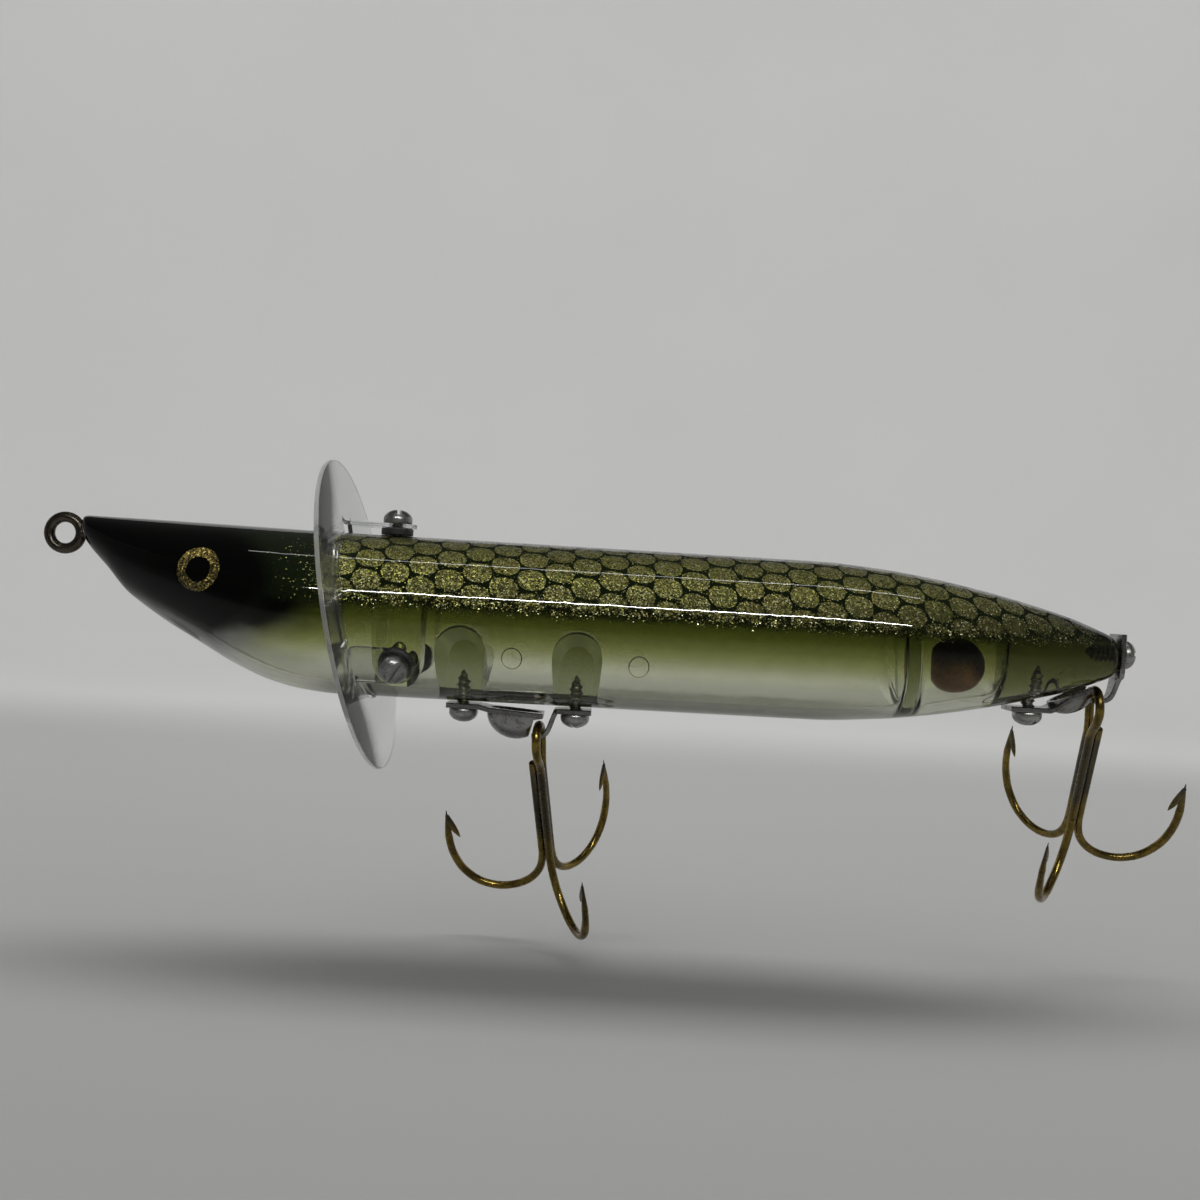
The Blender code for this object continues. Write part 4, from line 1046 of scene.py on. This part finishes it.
# ---- Treble hooks ----
class Treble:
    """Places on a treble: radius and azimuth about its axis, and distance below the eye's top."""

    def __init__(self, eye, azimuths):
        self.down = Vector(HANG).normalized()
        self.ahead = (REARWARD - self.down * self.down.x).normalized()
        self.near = self.down.cross(self.ahead)
        self.eye = at(*eye)
        self.open = self.out(azimuths["single"] + 180)
        self.across = self.down.cross(self.open)
        self.top = EYE_RADIUS + WIRE / 2
        self.axis = self.eye - self.open * DOUBLE_BRAZE_SHIFT * MM

    def out(self, azimuth):
        a = radians(azimuth)
        return self.ahead * cos(a) + self.near * sin(a)

    def place(self, radius, azimuth, below):
        return self.axis + (self.down * (below - self.top) + self.out(azimuth) * radius) * MM

    def loop_place(self, across, below):
        return self.eye + (self.down * (below - self.top) + self.across * across) * MM

    def hook(self, azimuth):
        """(place, radius, flattening) from the shank round the bend to the point."""
        last = HOOK_BEND[-1][1]
        plane = self.down.cross(self.out(azimuth))
        made = []
        for r, z, _ in rounded_path([(r, z, 0) for r, z in HOOK_BEND], 6):
            share = min(1.0, 0.04 + 0.96 * (z - last) / (POINT_START - last)) if r > 10 else 1.0
            flat = 1.0 if r < 10 or z > 31 else 0.75 + 0.25 * (max(z, 27) - 27) / 4
            made.append((self.place(r, azimuth, z), WIRE / 2 * 0.985 * share ** 0.8, (plane, flat)))
        return made

    def barb(self, azimuth):
        """A thin curved spur that stands inwards behind the point."""
        plane = self.down.cross(self.out(azimuth))
        (r0, z0), (r1, z1) = BARB["root"], BARB["tip"]
        shares = spread(0, 1, 8)
        points = [self.place(r0 + (r1 - r0) * t ** 1.35, azimuth, z0 + (z1 - z0) * t) for t in shares]
        radii = [0.62 * sin(pi * (0.16 + 0.84 * t) ** 1.1) ** 0.7 + 0.02 for t in shares]
        return sweep(points, radii, [(plane, 0.55)] * 9, 12)

    def eye_wire(self, start, end, sign):
        """(place, radius, flattening) up one shank, round the eye and down the other."""
        shank = SHANK_OFFSET * sin(radians(60))
        neck = [(shank, 10.5), (shank * 1.05, 8.8), (shank * 1.75, 7.0), (EYE_RADIUS * 0.86, 5.2)]
        crown = [(EYE_RADIUS * cos(a), self.top - EYE_RADIUS * sin(a)) for a in spread(0, pi, 10)]
        side = neck + crown + [(-w, z) for w, z in reversed(neck)]
        path = rounded_path([start] + [self.loop_place(sign * w, z) for w, z in side] + [end], 3)
        return [(p, WIRE / 2, (self.open, 1.0)) for p in path[1:-1]]


def make_treble(label, eye, azimuths, bronze):
    """A double hook, whose one wire also forms the eye, a single hook and the braze between."""
    treble = Treble(eye, azimuths)
    first, second = azimuths["double"]
    alone = azimuths["single"]
    sign = 1 if treble.across.dot(treble.out(first)) > 0 else -1
    one, other = treble.hook(first), treble.hook(second)
    wire = one[::-1] + treble.eye_wire(one[0][0], other[0][0], sign) + other
    double = combine(sweep(*map(list, zip(*wire))), [("UNION", treble.barb(a)) for a in (first, second)])
    wire = treble.hook(alone)
    flat = wire[0][2]
    wire = [(treble.place(SHANK_OFFSET, alone, SINGLE_TOP), WIRE / 2 * 0.86, flat),
            (treble.place(SHANK_OFFSET, alone, SINGLE_TOP + 0.12), WIRE / 2, flat)] + wire
    single = combine(sweep(*map(list, zip(*wire))), [("UNION", treble.barb(alone))])
    for kind, mesh in (("double", double), ("single", single)):
        put(f"{label}_{kind}_hook_wire", mesh, [bronze], f"{label}_treble",
            [f"{label}_treble_{kind}_hook"])
    spots = spread(0, 1, 16)
    depths = [BRAZE_TOP + (BRAZE_END - BRAZE_TOP) * t - treble.top for t in spots]
    run = [treble.axis + treble.down * depth * MM for depth in depths]
    swell = [BRAZE_RADIUS * max(0.05, sin(pi * t)) ** 0.35 for t in spots]
    put(f"{label}_treble_braze", sweep(run, swell, sides=20), [bronze], f"{label}_treble", [])


def make_ball(copper):
    bm = bmesh.new()
    bmesh.ops.create_icosphere(bm, subdivisions=5, radius=BALL_RADIUS * MM)
    s, y, h = BALL_CENTRE
    bmesh.ops.translate(bm, vec=at(s, h, y), verts=bm.verts)
    put("copper_rattle_ball", mesh_of("ball", bm), [copper], "rattle", ["rattle_ball"])


# ---- Studio ----
def lamp(name, place, aim, size, power, seen_in):
    """A rectangular lamp aimed at a place; seen_in lists the kinds of ray that see it."""
    data = bpy.data.lights.new(name, "AREA")
    data.shape = "RECTANGLE"
    data.size, data.size_y = size
    data.energy = power
    data.color = (1.0, 0.995, 0.985)
    made = linked(name, data)
    made.location = place
    made.rotation_euler = (aim - place).to_track_quat("-Z", "Y").to_euler()
    made.visible_camera = False
    made.visible_diffuse = "diffuse" in seen_in
    made.visible_glossy = "glossy" in seen_in
    made.visible_transmission = "clear" in seen_in


def pale_paper():
    """Matt paper with painted shade: darker far behind the camera and on the floor in front of the wall.
    """
    f = Finish("pale paper")
    place = f.place()
    depth = f.split(place)[1]
    tone_and_shade = f.mix(f.noise(place, 160.0, 2.0), (0.70, 0.703, 0.70), (0.74, 0.743, 0.74))
    # Painted shade: the paper darkens towards and behind the camera
    tone_and_shade = f.mix(f.rise(depth, -850.0, -250.0), (0.30, 0.30, 0.29), tone_and_shade)
    # Painted shade: the floor is darker than the wall above it
    tone_and_shade = f.mix(f.rise(depth, 250.0, 430.0, 1.0, 0.0), tone_and_shade, (0.72, 0.72, 0.72), "MULTIPLY")
    f.set(Base_Color=tone_and_shade, Roughness=0.8, Specular_IOR_Level=0.2,
          Normal=f.bump(f.noise(place, 1.6, 2.0), 0.05, 0.1))
    return f.material


def make_room(centre_x, floor_z):
    """A round floor that curves up into a wall all round."""
    reach, cove, height = ROOM_SHAPE
    line = [(0.0005, 0.0), (0.2, 0.0), (0.4, 0.0)]
    line += [(reach - cove + cove * sin(a), cove * (1 - cos(a)))
             for a in spread(0, pi / 2, 24)]
    line.append((reach, height))
    bm = bmesh.new()
    middle = Vector((centre_x, 0, floor_z))
    rows = [[bm.verts.new(middle + Vector((*circled(r, a), z))) for a in angles(128)] for r, z in line]
    for inner, outer in zip(rows, rows[1:]):
        for i in range(len(inner)):
            j = (i + 1) % len(inner)
            bm.faces.new((inner[i], outer[i], outer[j], inner[j]))
    bm.faces.new(rows[0])
    mesh = bpy.data.meshes.new("paper_room")
    bm.to_mesh(mesh)
    bm.free()
    mesh.materials.append(pale_paper())
    mesh.shade_smooth()
    room = linked("paper_room", mesh)


def make_stage():
    """The room, two strip lamps, two soft lamps and a dim background."""
    centre = at(84.0, 0.0)
    make_room(centre.x, CAD_BOX[0].z - FLOOR_DROP)
    for name, elevation, far, size, middle, power in STRIPS:
        a = radians(elevation)
        off = Vector((middle, -far * cos(a), far * sin(a)))
        lamp(name, centre + off, centre + Vector((middle, 0, 0)), size, power, ("glossy", "clear"))
    for name, off, aim, size, power in SOFT_LAMPS:
        lamp(name, centre + Vector(off), centre + Vector(aim), size, power, ("diffuse", "clear"))
    world = bpy.data.worlds.new("dim room")
    bpy.context.scene.world = world
    world.use_nodes = True
    background = world.node_tree.nodes["Background"]
    background.inputs["Color"].default_value = (1.0, 1.0, 0.98, 1.0)
    background.inputs["Strength"].default_value = ROOM_LIGHT


def make_camera():
    data = bpy.data.cameras.new("camera")
    data.sensor_width, data.lens = 36.0, 36.06
    data.clip_start, data.clip_end = 0.01, 20.0
    camera = linked("camera", data)
    roll = radians(3.3)
    right = Vector((cos(roll), 0, sin(roll)))
    up = Vector((-sin(roll), 0, cos(roll)))
    look = Vector((0, 1, 0))
    turn = Matrix((right, up, -look)).transposed().to_4x4()
    camera.matrix_world = Matrix.Translation(at(83.06, 4.5, -194.0)) @ turn
    bpy.context.scene.camera = camera


# ---- Build ----
make_body()
make_collar()
make_spacers()
make_screws(worn_metal("worn zinc", (0.42, 0.42, 0.40), (0.29, 0.29, 0.28), (0.11, 0.105, 0.095),
                       (0.2, 0.42), 0.55))
make_line_tie(worn_metal("black nickel wire", (0.11, 0.095, 0.075), (0.065, 0.057, 0.045),
                         (0.025, 0.02, 0.016), (0.16, 0.36), 0.5))
make_hangers(worn_metal("plated strip", (0.34, 0.34, 0.33), (0.24, 0.235, 0.22), (0.10, 0.09, 0.075),
                        (0.16, 0.32), 0.8))
for label, eye, azimuths in (("front", FRONT_EYE, FRONT_AZIMUTHS), ("rear", REAR_EYE, REAR_AZIMUTHS)):
    wire = worn_metal(f"bronzed wire {label}", (0.26, 0.185, 0.045), (0.125, 0.09, 0.028),
                      (0.035, 0.028, 0.015), (0.14, 0.34), 0.6, brazed(eye))
    make_treble(label, eye, azimuths, wire)
make_ball(worn_metal("dull copper", (0.34, 0.17, 0.10), (0.22, 0.11, 0.065), (0.10, 0.055, 0.035),
                     (0.30, 0.5), 0.6))
make_stage()
make_camera()
bpy.context.scene.view_settings.view_transform = "Standard"
